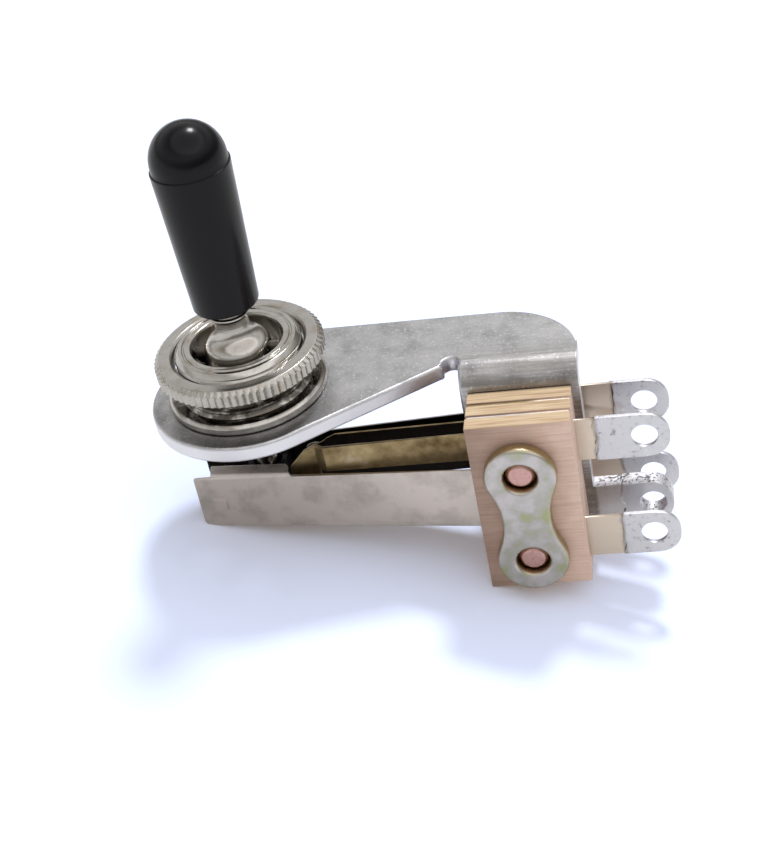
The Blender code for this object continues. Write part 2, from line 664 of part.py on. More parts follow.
def build_contacts(silver):
    """Four silver points: one on the foot of each inner leaf and one on each outer leaf."""
    contacts = []
    inner_back = INNER_FOOT_FACE_Y + CONTACT_SEAT
    outer_back = inner_back + 2 * CONTACT_T + CONTACT_GAP
    for side, place in ((-1, "front"), (1, "rear")):
        inner = sorted((side * inner_back, side * (inner_back + CONTACT_T)))
        outer = sorted((side * outer_back, side * (outer_back - CONTACT_T)))
        centre = (CONTACT_X, CONTACT_Z)
        point = rod(place + "_inner_contact", centre, CONTACT_R, inner[0], inner[1], "Y")
        contacts.append(finish(point, silver, 40))
        point = rod(place + "_outer_contact", centre, CONTACT_R, outer[0], outer[1], "Y")
        contacts.append(finish(point, silver, 40, (BLOCK_LEFT_X, side * OUTER_LEAF_Y, 0)))
    return contacts


def build_insulators(phenolic):
    """Three insulators on each side of the flange, with the leaves between them."""
    layers = (
        ("inner", SHEET_T / 2 + LAYER_GAP, INNER_LEAF_Y - LEAF_T / 2 - LAYER_GAP),
        ("middle", INNER_LEAF_Y + LEAF_T / 2 + LAYER_GAP, OUTER_LEAF_Y - LEAF_T / 2 - LAYER_GAP),
        ("outer", OUTER_LEAF_Y + LEAF_T / 2 + LAYER_GAP, BLOCK_FACE_Y),
    )
    plates = []
    for side, place in ((-1, "front"), (1, "rear")):
        for layer, near, far in layers:
            low, high = sorted((side * near, side * far))
            plate = block(place + "_" + layer + "_insulator", (BLOCK_LEFT_X, low, BLOCK_BOTTOM_Z),
                          (BLOCK_RIGHT_X, high, BLOCK_TOP_Z))
            for z in SCREW_ZS:
                hole = ((SCREW_X, z), SLEEVE_HOLE_R, low - CUT_REACH, high + CUT_REACH, "Y")
                cut(plate, rod("sleeve_hole", *hole))
            plates.append(finish(plate, phenolic))
    return plates


def clamp_outline():
    """Figure of eight in (x, z): two lobes joined by a waist whose arcs touch both lobes."""
    half_span = (UPPER_SCREW_Z - LOWER_SCREW_Z) / 2
    middle_z = (UPPER_SCREW_Z + LOWER_SCREW_Z) / 2
    waist_r = (half_span ** 2 + CLAMP_WAIST_HALF ** 2 - CLAMP_LOBE_R ** 2) / (
        2 * (CLAMP_LOBE_R - CLAMP_WAIST_HALF))
    offset = CLAMP_WAIST_HALF + waist_r
    lean = math.degrees(math.atan2(half_span, offset))
    steps = 3 * CORNER_STEPS
    points = arc(SCREW_X, UPPER_SCREW_Z, CLAMP_LOBE_R, -lean, 180 + lean, steps)
    points += arc(SCREW_X - offset, middle_z, waist_r, lean, -lean, CORNER_STEPS)[1:-1]
    points += arc(SCREW_X, LOWER_SCREW_Z, CLAMP_LOBE_R, 180 - lean, 360 + lean, steps)
    points += arc(SCREW_X + offset, middle_z, waist_r, 180 + lean, 180 - lean, CORNER_STEPS)[1:-1]
    return points


def build_clamp(zinc):
    """Figure-of-eight clamp plate on the stack's front, with rounded edges."""
    clamp = prism("clamp_plate", clamp_outline(), -CLAMP_FACE_Y, -CLAMP_BACK_Y, "Y")
    low, high = -CLAMP_FACE_Y - CUT_REACH, -CLAMP_BACK_Y + CUT_REACH
    for z in SCREW_ZS:
        cut(clamp, rod("screw_hole", (SCREW_X, z), CLAMP_HOLE_R, low, high, "Y"))
    bevel = clamp.modifiers.new("Rounded edges", "BEVEL")
    bevel.width = CLAMP_EDGE_R * MM
    bevel.segments = 2
    bevel.limit_method = "ANGLE"
    bevel.angle_limit = math.radians(60)
    return finish(clamp, zinc, 30)


def build_screws(steel, phenolic):
    """Two slotted screws from the back, each with a washer and an insulating sleeve."""
    washer_y = BLOCK_FACE_Y + LAYER_GAP
    head_y = washer_y + WASHER_T + LAYER_GAP
    head_top = head_y + HEAD_H
    reach = BLOCK_FACE_Y - LAYER_GAP
    pieces = []
    for place, z in (("upper", UPPER_SCREW_Z), ("lower", LOWER_SCREW_Z)):
        centre = (SCREW_X, z)
        screw = rod(place + "_screw", centre, SCREW_R, SCREW_RECESS - CLAMP_FACE_Y, head_y + HEAD_H / 3, "Y")
        union(screw, rod("head", centre, HEAD_R, head_y, head_top, "Y"))
        slot_reach = HEAD_R + CUT_REACH
        cut(screw, block("slot", (SCREW_X - slot_reach, head_top - SLOT_DEPTH, z - SLOT_W / 2),
                         (SCREW_X + slot_reach, head_top + CUT_REACH, z + SLOT_W / 2)))
        pieces.append(finish(screw, steel, 35))
        washer = rod(place + "_washer", centre, WASHER_R, washer_y, washer_y + WASHER_T, "Y")
        hole_r = SCREW_R + SLIP_CLEARANCE
        cut(washer, rod("hole", centre, hole_r, washer_y - CUT_REACH, head_y + CUT_REACH, "Y"))
        pieces.append(finish(washer, steel, 35))
        sleeve = rod(place + "_sleeve", centre, SLEEVE_OUTER_R, -reach, reach, "Y")
        cut(sleeve, rod("bore", centre, SLEEVE_INNER_R, -reach - CUT_REACH, reach + CUT_REACH, "Y"))
        pieces.append(finish(sleeve, phenolic, 35))
    return pieces


def main():
    for obj in list(bpy.data.objects):
        bpy.data.objects.remove(obj, do_unlink=True)
    plated_steel = material("plated_steel", (0.46, 0.45, 0.44), 0.38, 1.0)
    nickel = material("bright_nickel", (0.55, 0.52, 0.47), 0.14, 1.0)
    black_plastic = material("black_plastic", (0.012, 0.012, 0.015), 0.32, 0.0)
    nickel_silver = material("nickel_silver", (0.42, 0.38, 0.34), 0.34, 1.0)
    silver = material("contact_silver", (0.72, 0.70, 0.66), 0.25, 1.0)
    phenolic = material("phenolic_board", (0.56, 0.36, 0.22), 0.65, 0.0)
    zinc = material("yellow_zinc", (0.38, 0.38, 0.30), 0.36, 1.0)
    screw_steel = material("screw_steel", (0.50, 0.34, 0.30), 0.35, 1.0)
    sleeve_tube = material("sleeve_tube", (0.30, 0.16, 0.08), 0.6, 0.0)

    build_bracket(plated_steel)
    build_bushing(nickel)
    build_nut(nickel)
    build_lever(nickel)
    build_tip(black_plastic)
    build_pin(screw_steel)
    build_actuator(black_plastic)
    build_outer_leaf("front_outer_leaf", -1, nickel_silver)
    build_outer_leaf("rear_outer_leaf", 1, nickel_silver)
    build_inner_leaf("front_inner_leaf", -1, nickel_silver)
    build_inner_leaf("rear_inner_leaf", 1, nickel_silver)
    build_contacts(silver)
    build_insulators(phenolic)
    build_clamp(zinc)
    build_screws(screw_steel, sleeve_tube)


main()
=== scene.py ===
"""Dresses a right-angle, three-way guitar pickup selector switch for its portrait.

Sizes are written in millimetres and become metres where a mesh is made. The frame is the
part's own: the bushing's axis is Z, the leaf stack lies along +X and +Y is the back.
"""

import math
from functools import partial

import bmesh
import bpy
from bpy.props import FloatProperty, FloatVectorProperty, IntProperty, PointerProperty
from mathutils import Matrix, Vector, noise


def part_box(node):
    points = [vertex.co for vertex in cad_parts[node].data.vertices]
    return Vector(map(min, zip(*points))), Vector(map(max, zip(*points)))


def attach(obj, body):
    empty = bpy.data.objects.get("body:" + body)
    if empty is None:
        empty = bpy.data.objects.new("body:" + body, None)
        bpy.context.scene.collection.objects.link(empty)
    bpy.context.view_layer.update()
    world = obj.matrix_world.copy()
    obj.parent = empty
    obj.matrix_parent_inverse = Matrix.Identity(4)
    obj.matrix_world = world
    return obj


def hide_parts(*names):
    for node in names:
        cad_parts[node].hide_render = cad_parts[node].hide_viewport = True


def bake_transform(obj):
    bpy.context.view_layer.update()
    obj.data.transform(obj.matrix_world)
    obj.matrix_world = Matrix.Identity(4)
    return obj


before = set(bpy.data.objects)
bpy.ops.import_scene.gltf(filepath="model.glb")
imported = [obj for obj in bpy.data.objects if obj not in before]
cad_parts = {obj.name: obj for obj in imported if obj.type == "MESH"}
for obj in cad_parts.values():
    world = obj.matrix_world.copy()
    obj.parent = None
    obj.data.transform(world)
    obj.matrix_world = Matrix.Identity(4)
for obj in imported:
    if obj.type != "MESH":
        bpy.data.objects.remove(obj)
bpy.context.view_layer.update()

bl_info = {
    "name": "Pickup Selector Switch",
    "version": (1, 0, 0),
    "blender": (4, 5, 0),
    "location": "3D View > Sidebar > Switch",
    "description": "Builds the looks of a three-way leaf switch around its solid parts",
    "category": "Object",
}

MM = 0.001
PHOTO_HEIGHT = 867
FOCAL_PIXELS = 1889.8  # the fitted lens, in the photograph's pixels
SENSOR = 36
BLOCK_X = 20.2  # just left of the leaf block
BEND_X, BEND_Y = (18.5, 20.5), (4.2, 1.2)  # where the fold starts and ends, rightwards and forwards
LUG_X = (30.7, 31.0)  # where the bracket's own lug leaves the flange
TIN_START_X = 33.2
FRONT_INNER_TIN_X = 31.6


def linear(code):
    """An sRGB hex colour as the linear values that a shader works in."""
    channels = []
    for i in (0, 2, 4):
        value = int(code.lstrip("#")[i:i + 2], 16) / 255
        channels.append(value / 12.92 if value <= 0.04045 else ((value + 0.055) / 1.055) ** 2.4)
    return (*channels, 1.0)


def per(size_mm):
    """A texture's scale for a feature of this size."""
    return 1 / (size_mm * MM)


def output(value):
    """A node's first output that is in use. Anything else comes back as it is."""
    return next(s for s in value.outputs if s.enabled) if isinstance(value, bpy.types.Node) else value


def node(tree, kind, inputs=None, stops=None, **settings):
    """Add a node with its settings, its values and its links. A node given as an input lends its first output,
    and a shader node's kind is written without its prefix."""
    made = tree.nodes.new(kind if "Node" in kind else "ShaderNode" + kind)
    for name, value in settings.items():
        setattr(made, name, value)
    for key, value in (inputs or {}).items():
        value = output(value)
        if isinstance(value, bpy.types.NodeSocket):
            tree.links.new(value, made.inputs[key])
        else:
            made.inputs[key].default_value = value
    if stops:
        ramp = made.color_ramp.elements
        while len(ramp) < len(stops):
            ramp.new(1.0)
        for element, (place, tint) in zip(ramp, stops):
            element.position = place
            element.color = tint
    return made


def grey(level):
    return (level, level, level, 1.0)


def toned(base, red, green, blue):
    """A colour with its red, green and blue multiplied by these."""
    return (base[0] * red, base[1] * green, base[2] * blue, 1.0)


def length(name, description, default):
    """A size that is given in millimetres and kept in metres."""
    return FloatProperty(name=name, description=description, default=default * MM, unit="LENGTH", precision=5)


def colour(name, code):
    return FloatVectorProperty(name=name, description="Colour of the " + name.lower(), subtype="COLOR", size=4,
                               min=0.0, max=1.0, default=linear(code))


class SwitchSizes(bpy.types.PropertyGroup):
    """Sizes of the details that the solids leave plain."""

    thread_pitch: length("Thread pitch", "Rise of the bushing's thread in one turn", 0.79)
    thread_depth: length("Thread depth", "Depth of the bushing's thread", 0.4)
    knurl_ridges: IntProperty(name="Knurl ridges", description="Ridges round the nut's rim", default=72)
    knurl_depth: length("Knurl depth", "Depth of the grooves in the nut's rim", 0.22)
    sheet_edge: length("Sheet edge", "Rounding of the bracket's blanked edges", 0.3)
    leaf_edge: length("Leaf edge", "Rounding of the leaves' edges", 0.09)
    board_edge: length("Board edge", "Rounding of the insulators' edges", 0.09)
    tin_wave: length("Tin line", "How far the tin's edge wanders on a lug", 0.45)


class SwitchColours(bpy.types.PropertyGroup):
    """Colours of the finishes."""

    sheet: colour("Bracket's zinc plating", "#aaaaac")
    nickel: colour("Turned nickel", "#b4b1ad")
    tip: colour("Black tip", "#0a0a11")
    leaf: colour("Outer leaves", "#ccc4c0")
    stain: colour("Stain on the inner leaves", "#a89672")
    root: colour("Bare roots of the lugs", "#d4c8bb")
    tin: colour("Tinned lugs", "#cfcfd6")
    board: colour("Insulating boards", "#ccae9e")
    clamp: colour("Passivated clamp plate", "#b9b6b8")
    screw: colour("Copper-washed screws", "#c9a2a0")
    sleeve: colour("Fibre sleeves", "#6e3b28")


def sizes():
    return bpy.context.scene.switch_sizes


def paint(name):
    return tuple(getattr(bpy.context.scene.switch_colours, name))


def millimetres(node_name):
    """The lowest and highest corner of a solid, in millimetres."""
    low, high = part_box(node_name)
    return low / MM, high / MM


def round_solid(node_name):
    """Where a round solid along Y starts and ends, its centre, and its radius less a hair, all in mm."""
    low, high = millimetres(node_name)
    return low.y, high.y, ((low.x + high.x) / 2, (low.z + high.z) / 2), (high.z - low.z) / 2 - 0.01


def mesh_object(name, bm):
    bmesh.ops.recalc_face_normals(bm, faces=bm.faces)
    mesh = bpy.data.meshes.new(name)
    bm.to_mesh(mesh)
    bm.free()
    obj = bpy.data.objects.new(name, mesh)
    bpy.context.scene.collection.objects.link(obj)
    return obj


def rounded(points, steps=4):
    """A closed outline of (u, v, radius) corners, each turned into an arc of that radius."""
    nearly_straight = math.radians(89.5)
    count = len(points)
    outline = []
    for i, (u, v, radius) in enumerate(points):
        if radius == 0:
            outline.append((u, v))
            continue
        corner = Vector((u, v))
        before = (Vector(points[i - 1][:2]) - corner).normalized()
        after = (Vector(points[(i + 1) % count][:2]) - corner).normalized()
        half = before.angle(after) / 2
        if half > nearly_straight:
            outline.append((u, v))
            continue
        reach = radius / math.tan(half)
        centre = corner + (before + after).normalized() * radius / math.sin(half)
        start = corner + before * reach - centre
        end = corner + after * reach - centre
        turn = start.angle_signed(end)
        for k in range(steps + 1):
            outline.append(tuple(centre + Matrix.Rotation(-turn * k / steps, 2) @ start))
    return outline


def arc(centre, radii, angles):
    """Points of an upright ellipse at these angles in degrees."""
    return [(centre[0] + radii[0] * math.cos(math.radians(a)), centre[1] + radii[1] * math.sin(math.radians(a)))
            for a in angles]


def lathe(name, profile, steps, axis="Z", centre=(0, 0)):
    """Revolve a closed outline of (radius, place) about an axis through `centre`. A radius of 0 is a pole."""
    order = {
        "X": lambda a, b, c: (c, centre[0] + a, centre[1] + b),
        "Y": lambda a, b, c: (centre[0] + a, c, centre[1] + b),
        "Z": lambda a, b, c: (centre[0] + a, centre[1] + b, c),
    }[axis]
    bm = bmesh.new()
    rings = []
    for radius, place in profile:
        if radius < 1e-6:
            rings.append([bm.verts.new(Vector(order(0, 0, place)) * MM)] * steps)
            continue
        turn = [2 * math.pi * i / steps for i in range(steps)]
        rings.append([bm.verts.new(Vector(order(radius * math.cos(a), radius * math.sin(a), place)) * MM)
                      for a in turn])
    for k, lower in enumerate(rings):
        upper = rings[(k + 1) % len(rings)]
        if lower[0] is lower[1] and upper[0] is upper[1]:
            continue
        for i in range(steps):
            j = (i + 1) % steps
            bm.faces.new(dict.fromkeys((lower[i], lower[j], upper[j], upper[i])))
    return mesh_object(name, bm)


def prism(name, outline, low, high):
    """Extrude a closed (y, z) outline between two places along X."""
    bm = bmesh.new()
    rows = [[bm.verts.new(Vector((x, y, z)) * MM) for y, z in outline] for x in (low, high)]
    bm.faces.new(rows[0])
    bm.faces.new(rows[1])
    for i in range(len(outline)):
        j = (i + 1) % len(outline)
        bm.faces.new((rows[0][i], rows[0][j], rows[1][j], rows[1][i]))
    return mesh_object(name, bm)


def plain(obj):
    """Bake the modifiers into the mesh and take them off."""
    bpy.context.view_layer.update()
    graph = bpy.context.evaluated_depsgraph_get()
    mesh = bpy.data.meshes.new_from_object(obj.evaluated_get(graph))
    obj.modifiers.clear()
    obj.data = mesh


def carve(obj, tool):
    """Cut the tool's shape out of the piece."""
    modifier = obj.modifiers.new("Cut", "BOOLEAN")
    modifier.operation = "DIFFERENCE"
    modifier.solver = "EXACT"
    modifier.object = tool
    plain(obj)
    bpy.data.objects.remove(tool)


def soften(obj, width, segments, weight=None):
    """Round the sharp edges. `weight` gives each edge's share of the width from its middle point in mm."""
    sharp = math.radians(32)
    bm = bmesh.new()
    bm.from_mesh(obj.data)
    layer = bm.edges.layers.float.new("bevel_weight_edge")
    for edge in bm.edges:
        if len(edge.link_faces) == 2 and edge.calc_face_angle() > sharp:
            middle = (edge.verts[0].co + edge.verts[1].co) / 2 / MM
            edge[layer] = weight(middle) if weight else 1.0
    bm.to_mesh(obj.data)
    bm.free()
    modifier = obj.modifiers.new("Edges", "BEVEL")
    modifier.width = width
    modifier.segments = segments
    modifier.limit_method = "WEIGHT"
    modifier.use_clamp_overlap = False
    modifier.miter_outer = "MITER_SHARP"
    plain(obj)


def copy_of(node_name, name):
    """A merged copy of a solid's triangles, with its flat faces whole again."""
    bm = bmesh.new()
    bm.from_mesh(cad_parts[node_name].data)
    bmesh.ops.remove_doubles(bm, verts=bm.verts, dist=1e-6)
    bmesh.ops.dissolve_limit(bm, angle_limit=math.radians(0.4), verts=bm.verts, edges=bm.edges)
    return mesh_object(name, bm)


def shade(obj, angle=35):
    """Shade the piece smooth up to its sharp edges, with its broad flat faces kept flat."""
    obj.data.shade_smooth()
    obj.data.set_sharp_from_angle(angle=math.radians(angle))
    modifier = obj.modifiers.new("Normals", "WEIGHTED_NORMAL")
    modifier.keep_sharp = True
    modifier.weight = 80
    plain(obj)


def dress(obj, finish, slot, body, *nodes):
    """Give a finished piece its material and its place in the frame."""
    obj.data.materials.clear()
    obj.data.materials.append(finish)
    if body:
        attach(obj, body)
    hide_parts(*nodes)


def material(name, **values):
    """A material with its shader's plain values. Returns it, what adds its nodes and its object coordinates."""
    made = bpy.data.materials.new(name)
    made.use_nodes = True
    for key, value in values.items():
        made.node_tree.nodes["Principled BSDF"].inputs[key.replace("_", " ")].default_value = value
    add = partial(node, made.node_tree)
    return made, add, add("TexCoord").outputs["Object"]


def surface(made, base, height, strength, depth, pattern=None, rough=(0.5, 0.5), spread=0.2):
    """Link a material's colour and a bump of `depth` mm. With a pattern, the roughness goes from the first
    value to the second while the pattern rises from `spread` below a half to `spread` above it."""
    tree = made.node_tree
    add = partial(node, tree)
    bump = add("Bump", {"Height": height, "Strength": strength, "Distance": depth * MM})
    links = {"Base Color": base, "Normal": bump}
    if pattern:
        links["Roughness"] = add("MapRange", {
            "Value": pattern, "From Min": 0.5 - spread, "From Max": 0.5 + spread,
            "To Min": rough[0], "To Max": rough[1]})
    for key, value in links.items():
        tree.links.new(output(value), tree.nodes["Principled BSDF"].inputs[key])


def about_axis(add, point):
    """A point's coordinates, its vector straight away from the Z axis and its distance from that axis."""
    place = add("SeparateXYZ", {0: point}).outputs
    away = add("CombineXYZ", {"X": place["X"], "Y": place["Y"]})
    return place, away, add("VectorMath", {0: away}, operation="LENGTH")


def zinc_plated_sheet():
    """Bright zinc on cold-rolled sheet, blanked and folded: dull grey with cloudy patches, a painted
    highlight along the cut edges, streaked and darker at the fold, torn where the lug was sheared."""
    base = paint("sheet")
    made, add, coords = material("Zinc-plated steel, blanked and folded", Metallic=1.0)
    rim = add("Attribute", attribute_name="rim").outputs["Fac"]
    place = add("SeparateXYZ", {0: coords}).outputs
    cloud = add("TexNoise", {"Vector": coords, "Scale": per(3.2), "Detail": 6.0, "Roughness": 0.66})
    patch = add("ValToRGB", {"Fac": cloud}, stops=[
        (0.34, toned(base, 0.62, 0.62, 0.63)), (0.48, toned(base, 0.92, 0.92, 0.92)),
        (0.66, toned(base, 1.25, 1.24, 1.23))])
    # Real zinc grit and rolling lines are under 0.1 mm: both are drawn at 0.3 mm, so that they show.
    grit = add("TexNoise", {"Vector": coords, "Scale": per(0.28), "Detail": 3.0, "Roughness": 0.7})
    speck = add("MapRange", {"Value": grit, "From Min": 0.58, "From Max": 0.7, "To Max": 0.7})
    dull = add("Mix", {0: speck, 6: patch, 7: linear("#eceae6")}, data_type="RGBA")
    drawn = add("Mapping", {"Vector": coords, "Scale": (per(6.0), per(0.3), per(0.3))})
    lines = add("TexNoise", {"Vector": drawn, "Scale": 1.0, "Detail": 3.0, "Roughness": 0.6})
    right, near, lug = (
        add("MapRange", {"Value": place[axis], "From Min": start * MM, "From Max": end * MM})
        for axis, (start, end) in (("X", BEND_X), ("Y", BEND_Y), ("X", LUG_X)))
    bent = add("Math", {0: right, 1: near}, operation="MULTIPLY")
    fold = add("Math", {0: bent, 1: lug}, operation="SUBTRACT", use_clamp=True)
    streak = add("MapRange", {"Value": lines, "From Min": 0.62, "From Max": 0.42, "To Max": 0.6})
    worked = add("Math", {0: fold, 1: streak}, operation="MULTIPLY")
    folded = add("Mix", {0: worked, 6: dull, 7: linear("#85807c")}, data_type="RGBA")
    # Painted highlight: the faces round the cut edge go near white. The lug's tin is really pale and shares the
    # mix.
    tinned = add("Math", {0: lug, 1: 0.6}, operation="MULTIPLY")
    pale = add("Math", {0: rim, 1: tinned}, operation="MAXIMUM")
    bright = add("Mix", {0: pale, 6: folded, 7: linear("#dcdce4")}, data_type="RGBA")
    torn = add("MapRange", {"Value": grit, "From Min": 0.49, "From Max": 0.38})
    ragged = add("Math", {0: torn, 1: lug}, operation="MULTIPLY")
    sheared = add("Math", {0: ragged, 1: rim}, operation="MULTIPLY")
    whole = add("Mix", {0: sheared, 6: bright, 7: linear("#5c5855")}, data_type="RGBA")
    height = add("Math", {0: grit, 1: lines}, operation="ADD")
    deep = add("Math", {0: sheared, 1: 2.5, 2: height}, operation="MULTIPLY_ADD")
    surface(made, whole, deep, 0.4, 0.035, cloud, (0.46, 0.3))
    return made


def turned_nickel(name, gloss, shade_heights=(0.0, 0.01)):
    """Nickel plate over turned brass: polished, with fine rings from the tool round its axis, a
    slightly warm cast in cloudy patches, and painted shade: a patchy dark band between the two heights given
    in mm, which stands for the nut's shadow on the bushing's thread. Where they aren't given, they are so
    close together that nothing is darkened."""
    base = paint("nickel")
    made, add, coords = material(name, Metallic=1.0)
    place, _, radius = about_axis(add, coords)
    track = add("CombineXYZ", {"X": radius, "Y": place["Z"]})
    # A finishing cut leaves rings of about 0.03 mm: they are drawn at 0.09 mm, so that they show.
    rings = add("TexNoise", {"Vector": track, "Scale": per(0.09)})
    cloud = add("TexNoise", {"Vector": coords, "Scale": per(1.3), "Detail": 5.0, "Roughness": 0.6})
    tone = add("ValToRGB", {"Fac": cloud}, stops=[
        (0.32, toned(base, 0.8, 0.75, 0.66)), (0.45, toned(base, 0.92, 0.91, 0.9)), (0.6, base)])
    # Painted shade: between the two heights the colour is mixed, in patches, towards dark brown for the nut's
    # shadow.
    above, below = (
        add("MapRange", {"Value": place["Z"], "From Min": end * MM, "From Max": (end + fade) * MM})
        for end, fade in zip(shade_heights, (0.15, -0.15)))
    band = add("Math", {0: above, 1: below}, operation="MULTIPLY")
    worn = add("MapRange", {"Value": cloud, "From Min": 0.5, "From Max": 0.62, "To Min": 0.8, "To Max": 0.1})
    darkened = add("Math", {0: band, 1: worn}, operation="MULTIPLY")
    skin = add("Mix", {0: darkened, 6: tone, 7: linear("#3a332c")}, data_type="RGBA")
    dents = add("TexNoise", {"Vector": coords, "Scale": per(0.7), "Detail": 3.0})
    height = add("Math", {0: dents, 1: 1.6, 2: rings}, operation="MULTIPLY_ADD")
    surface(made, skin, height, 0.3, 0.016, rings, (gloss, gloss + 0.1), spread=0.15)
    return made


def moulded_black(name, gloss):
    """Black plastic from a polished mould: glossy, with a faint waviness and a few dust specks."""
    made, add, coords = material(name, IOR=1.5, Specular_IOR_Level=0.2)
    # Dust is finer than a pixel: its specks are drawn at 0.16 mm.
    dust = add("TexNoise", {"Vector": coords, "Scale": per(0.16), "Roughness": 0.8})
    speck = add("MapRange", {"Value": dust, "From Min": 0.72, "From Max": 0.78, "To Max": 0.12})
    tint = add("Mix", {0: speck, 6: paint("tip"), 7: linear("#6a6a70")}, data_type="RGBA")
    wave = add("TexNoise", {"Vector": coords, "Scale": per(2.4), "Detail": 3.0})
    surface(made, tint, wave, 0.08, 0.1, wave, (gloss, gloss + 0.12))
    return made


def spring_leaf(name, stain, tin_x):
    """Rolled nickel silver strip: satin warm grey, stained where flux ran, with painted shade, near black, on
    the marked faces of a rear leaf's inner side, and a dipped tin coat on the lug beyond `tin_x` mm, whose
    edge is wavy and dark and whose skin is pitted and dark-flecked."""
    made, add, coords = material(name, Metallic=1.0)
    place = add("SeparateXYZ", {0: coords}).outputs
    cloud = add("TexNoise", {"Vector": coords, "Scale": per(2.6), "Detail": 5.0, "Roughness": 0.6})
    # Rolling lines are about 0.02 mm apart: they are drawn at 0.14 mm, so that they show.
    drawn = add("Mapping", {"Vector": coords, "Scale": (per(5.0), per(0.3), per(0.14))})
    lines = add("TexNoise", {"Vector": drawn, "Scale": 1.0, "Detail": 3.0})
    marks = add("Math", {0: cloud, 1: stain}, operation="ADD")
    blade = add("ValToRGB", {"Fac": marks}, stops=[
        (0.06, toned(paint("leaf"), 0.78, 0.78, 0.78)), (0.24, paint("leaf")), (0.42, paint("leaf")),
        (0.62, paint("stain")), (0.95, linear("#5c4a30"))])
    outside = add("MapRange", {"Value": place["X"], "From Min": 26 * MM, "From Max": 27 * MM})
    bare = add("Mix", {0: outside, 6: blade, 7: paint("root")}, data_type="RGBA")
    # Painted shade: the marked inner faces of the rear leaves go near black, for the shadow inside the leaf
    # stack.
    soot = add("Attribute", attribute_name="soot").outputs["Fac"]
    strip = add("Mix", {0: soot, 6: bare, 7: linear("#24211f")}, data_type="RGBA")
    blot = add("TexNoise", {"Vector": coords, "Scale": per(0.55), "Detail": 4.0, "Roughness": 0.7})
    lead = add("ValToRGB", {"Fac": blot}, stops=[
        (0.24, linear("#5a595c")), (0.32, linear("#a3a2a8")), (0.42, paint("tin")), (0.64, paint("tin")),
        (0.74, linear("#f0f0f4"))])
    wander = add("Math", {0: cloud, 1: 1.2 * MM, 2: place["X"]}, operation="MULTIPLY_ADD")
    line = add("Math", {0: wander, 1: (tin_x + 0.6) * MM}, operation="SUBTRACT")
    tinned = add("MapRange", {"Value": line, "From Min": -0.15 * MM, "From Max": 0.15 * MM})
    near = add("Math", {0: line}, operation="ABSOLUTE")
    edge = add("MapRange", {
        "Value": near, "From Min": 0.02 * MM, "From Max": 0.3 * MM, "To Min": 0.45, "To Max": 0.0})
    coat = add("Mix", {0: tinned, 6: strip, 7: lead}, data_type="RGBA")
    rimmed = add("Mix", {0: edge, 6: coat, 7: linear("#6a645c")}, data_type="RGBA")
    blister = add("Math", {0: blot, 1: tinned}, operation="MULTIPLY")
    fine = add("Math", {0: lines, 1: 0.15, 2: blister}, operation="MULTIPLY_ADD")
    surface(made, rimmed, fine, 0.5, 0.06, blot, (0.45, 0.33))
    return made


def phenolic_board():
    """Paper-based phenolic laminate, sheared to size: pinkish tan faces with faint level fibres, darker at
    the block's left end and paler towards the lugs, and a yellower sawn top whose paper layers show as thin
    darker lines."""
    base = paint("board")
    made, add, coords = material("Phenolic paper laminate, sheared", IOR=1.55, Roughness=0.55)
    place = add("SeparateXYZ", {0: coords}).outputs
    # Paper fibres and layers are about 0.05 mm: they are drawn at 0.22 mm and 0.16 mm, so that they show.
    along = add("Mapping", {"Vector": coords, "Scale": (per(5.0), per(0.4), per(0.22))})
    grain = add("TexNoise", {"Vector": along, "Scale": 1.0, "Detail": 4.0, "Roughness": 0.6})
    tone = add("ValToRGB", {"Fac": grain}, stops=[
        (0.3, toned(base, 0.86, 0.82, 0.8)), (0.5, base), (0.7, toned(base, 1.08, 1.09, 1.1))])
    blot = add("TexNoise", {"Vector": coords, "Scale": per(3.0), "Detail": 4.0})
    # A ramp along the block: the faces darken towards its left end and pale towards the lugs.
    drift = add("Math", {0: blot, 1: 6 * MM, 2: place["X"]}, operation="MULTIPLY_ADD")
    towards_lugs = add("MapRange", {"Value": drift, "From Min": 22.5 * MM, "From Max": 32.0 * MM})
    end_to_end_tone = add("ValToRGB", {"Fac": towards_lugs}, stops=[
        (0.0, (0.6, 0.55, 0.54, 1)), (0.5, grey(0.95)), (0.85, grey(1.2)), (1.0, (1.35, 1.4, 1.45, 1))])
    face = add("Mix", {0: 1.0, 6: tone, 7: end_to_end_tone}, data_type="RGBA", blend_type="MULTIPLY")
    top = add("Attribute", attribute_name="top").outputs["Fac"]
    sawn = add("Mapping", {"Vector": coords, "Scale": (per(4.0), per(0.16), per(4.0))})
    paper = add("TexNoise", {"Vector": sawn, "Scale": 1.0, "Detail": 3.0})
    layers = add("ValToRGB", {"Fac": paper}, stops=[
        (0.32, linear("#ad8d69")), (0.46, linear("#c8ab88")), (0.66, linear("#d9c2a0"))])
    mixed = add("Mix", {0: top, 6: face, 7: layers}, data_type="RGBA")
    surface(made, mixed, grain, 0.2, 0.03)
    return made


def passivated_clamp():
    """Zinc plate with a yellow passivation, worn grey on the face: a satin green-grey middle with
    straw-coloured rounded edges."""
    base = paint("clamp")
    made, add, coords = material("Yellow-passivated zinc plate, blanked", Metallic=1.0)
    rim = add("Attribute", attribute_name="rim").outputs["Fac"]
    cloud = add("TexNoise", {"Vector": coords, "Scale": per(1.8), "Detail": 4.0})
    tone = add("ValToRGB", {"Fac": cloud}, stops=[
        (0.34, linear("#a6aa8c")), (0.48, toned(base, 0.9, 0.92, 0.88)), (0.62, toned(base, 1.1, 1.1, 1.12))])
    straw = add("Mix", {0: rim, 6: tone, 7: linear("#b3a37c")}, data_type="RGBA")
    # The plating's grit is under 0.05 mm: it is drawn at 0.2 mm, so that it shows.
    grit = add("TexNoise", {"Vector": coords, "Scale": per(0.2)})
    surface(made, straw, grit, 0.2, 0.02, grit, (0.3, 0.42))
    return made


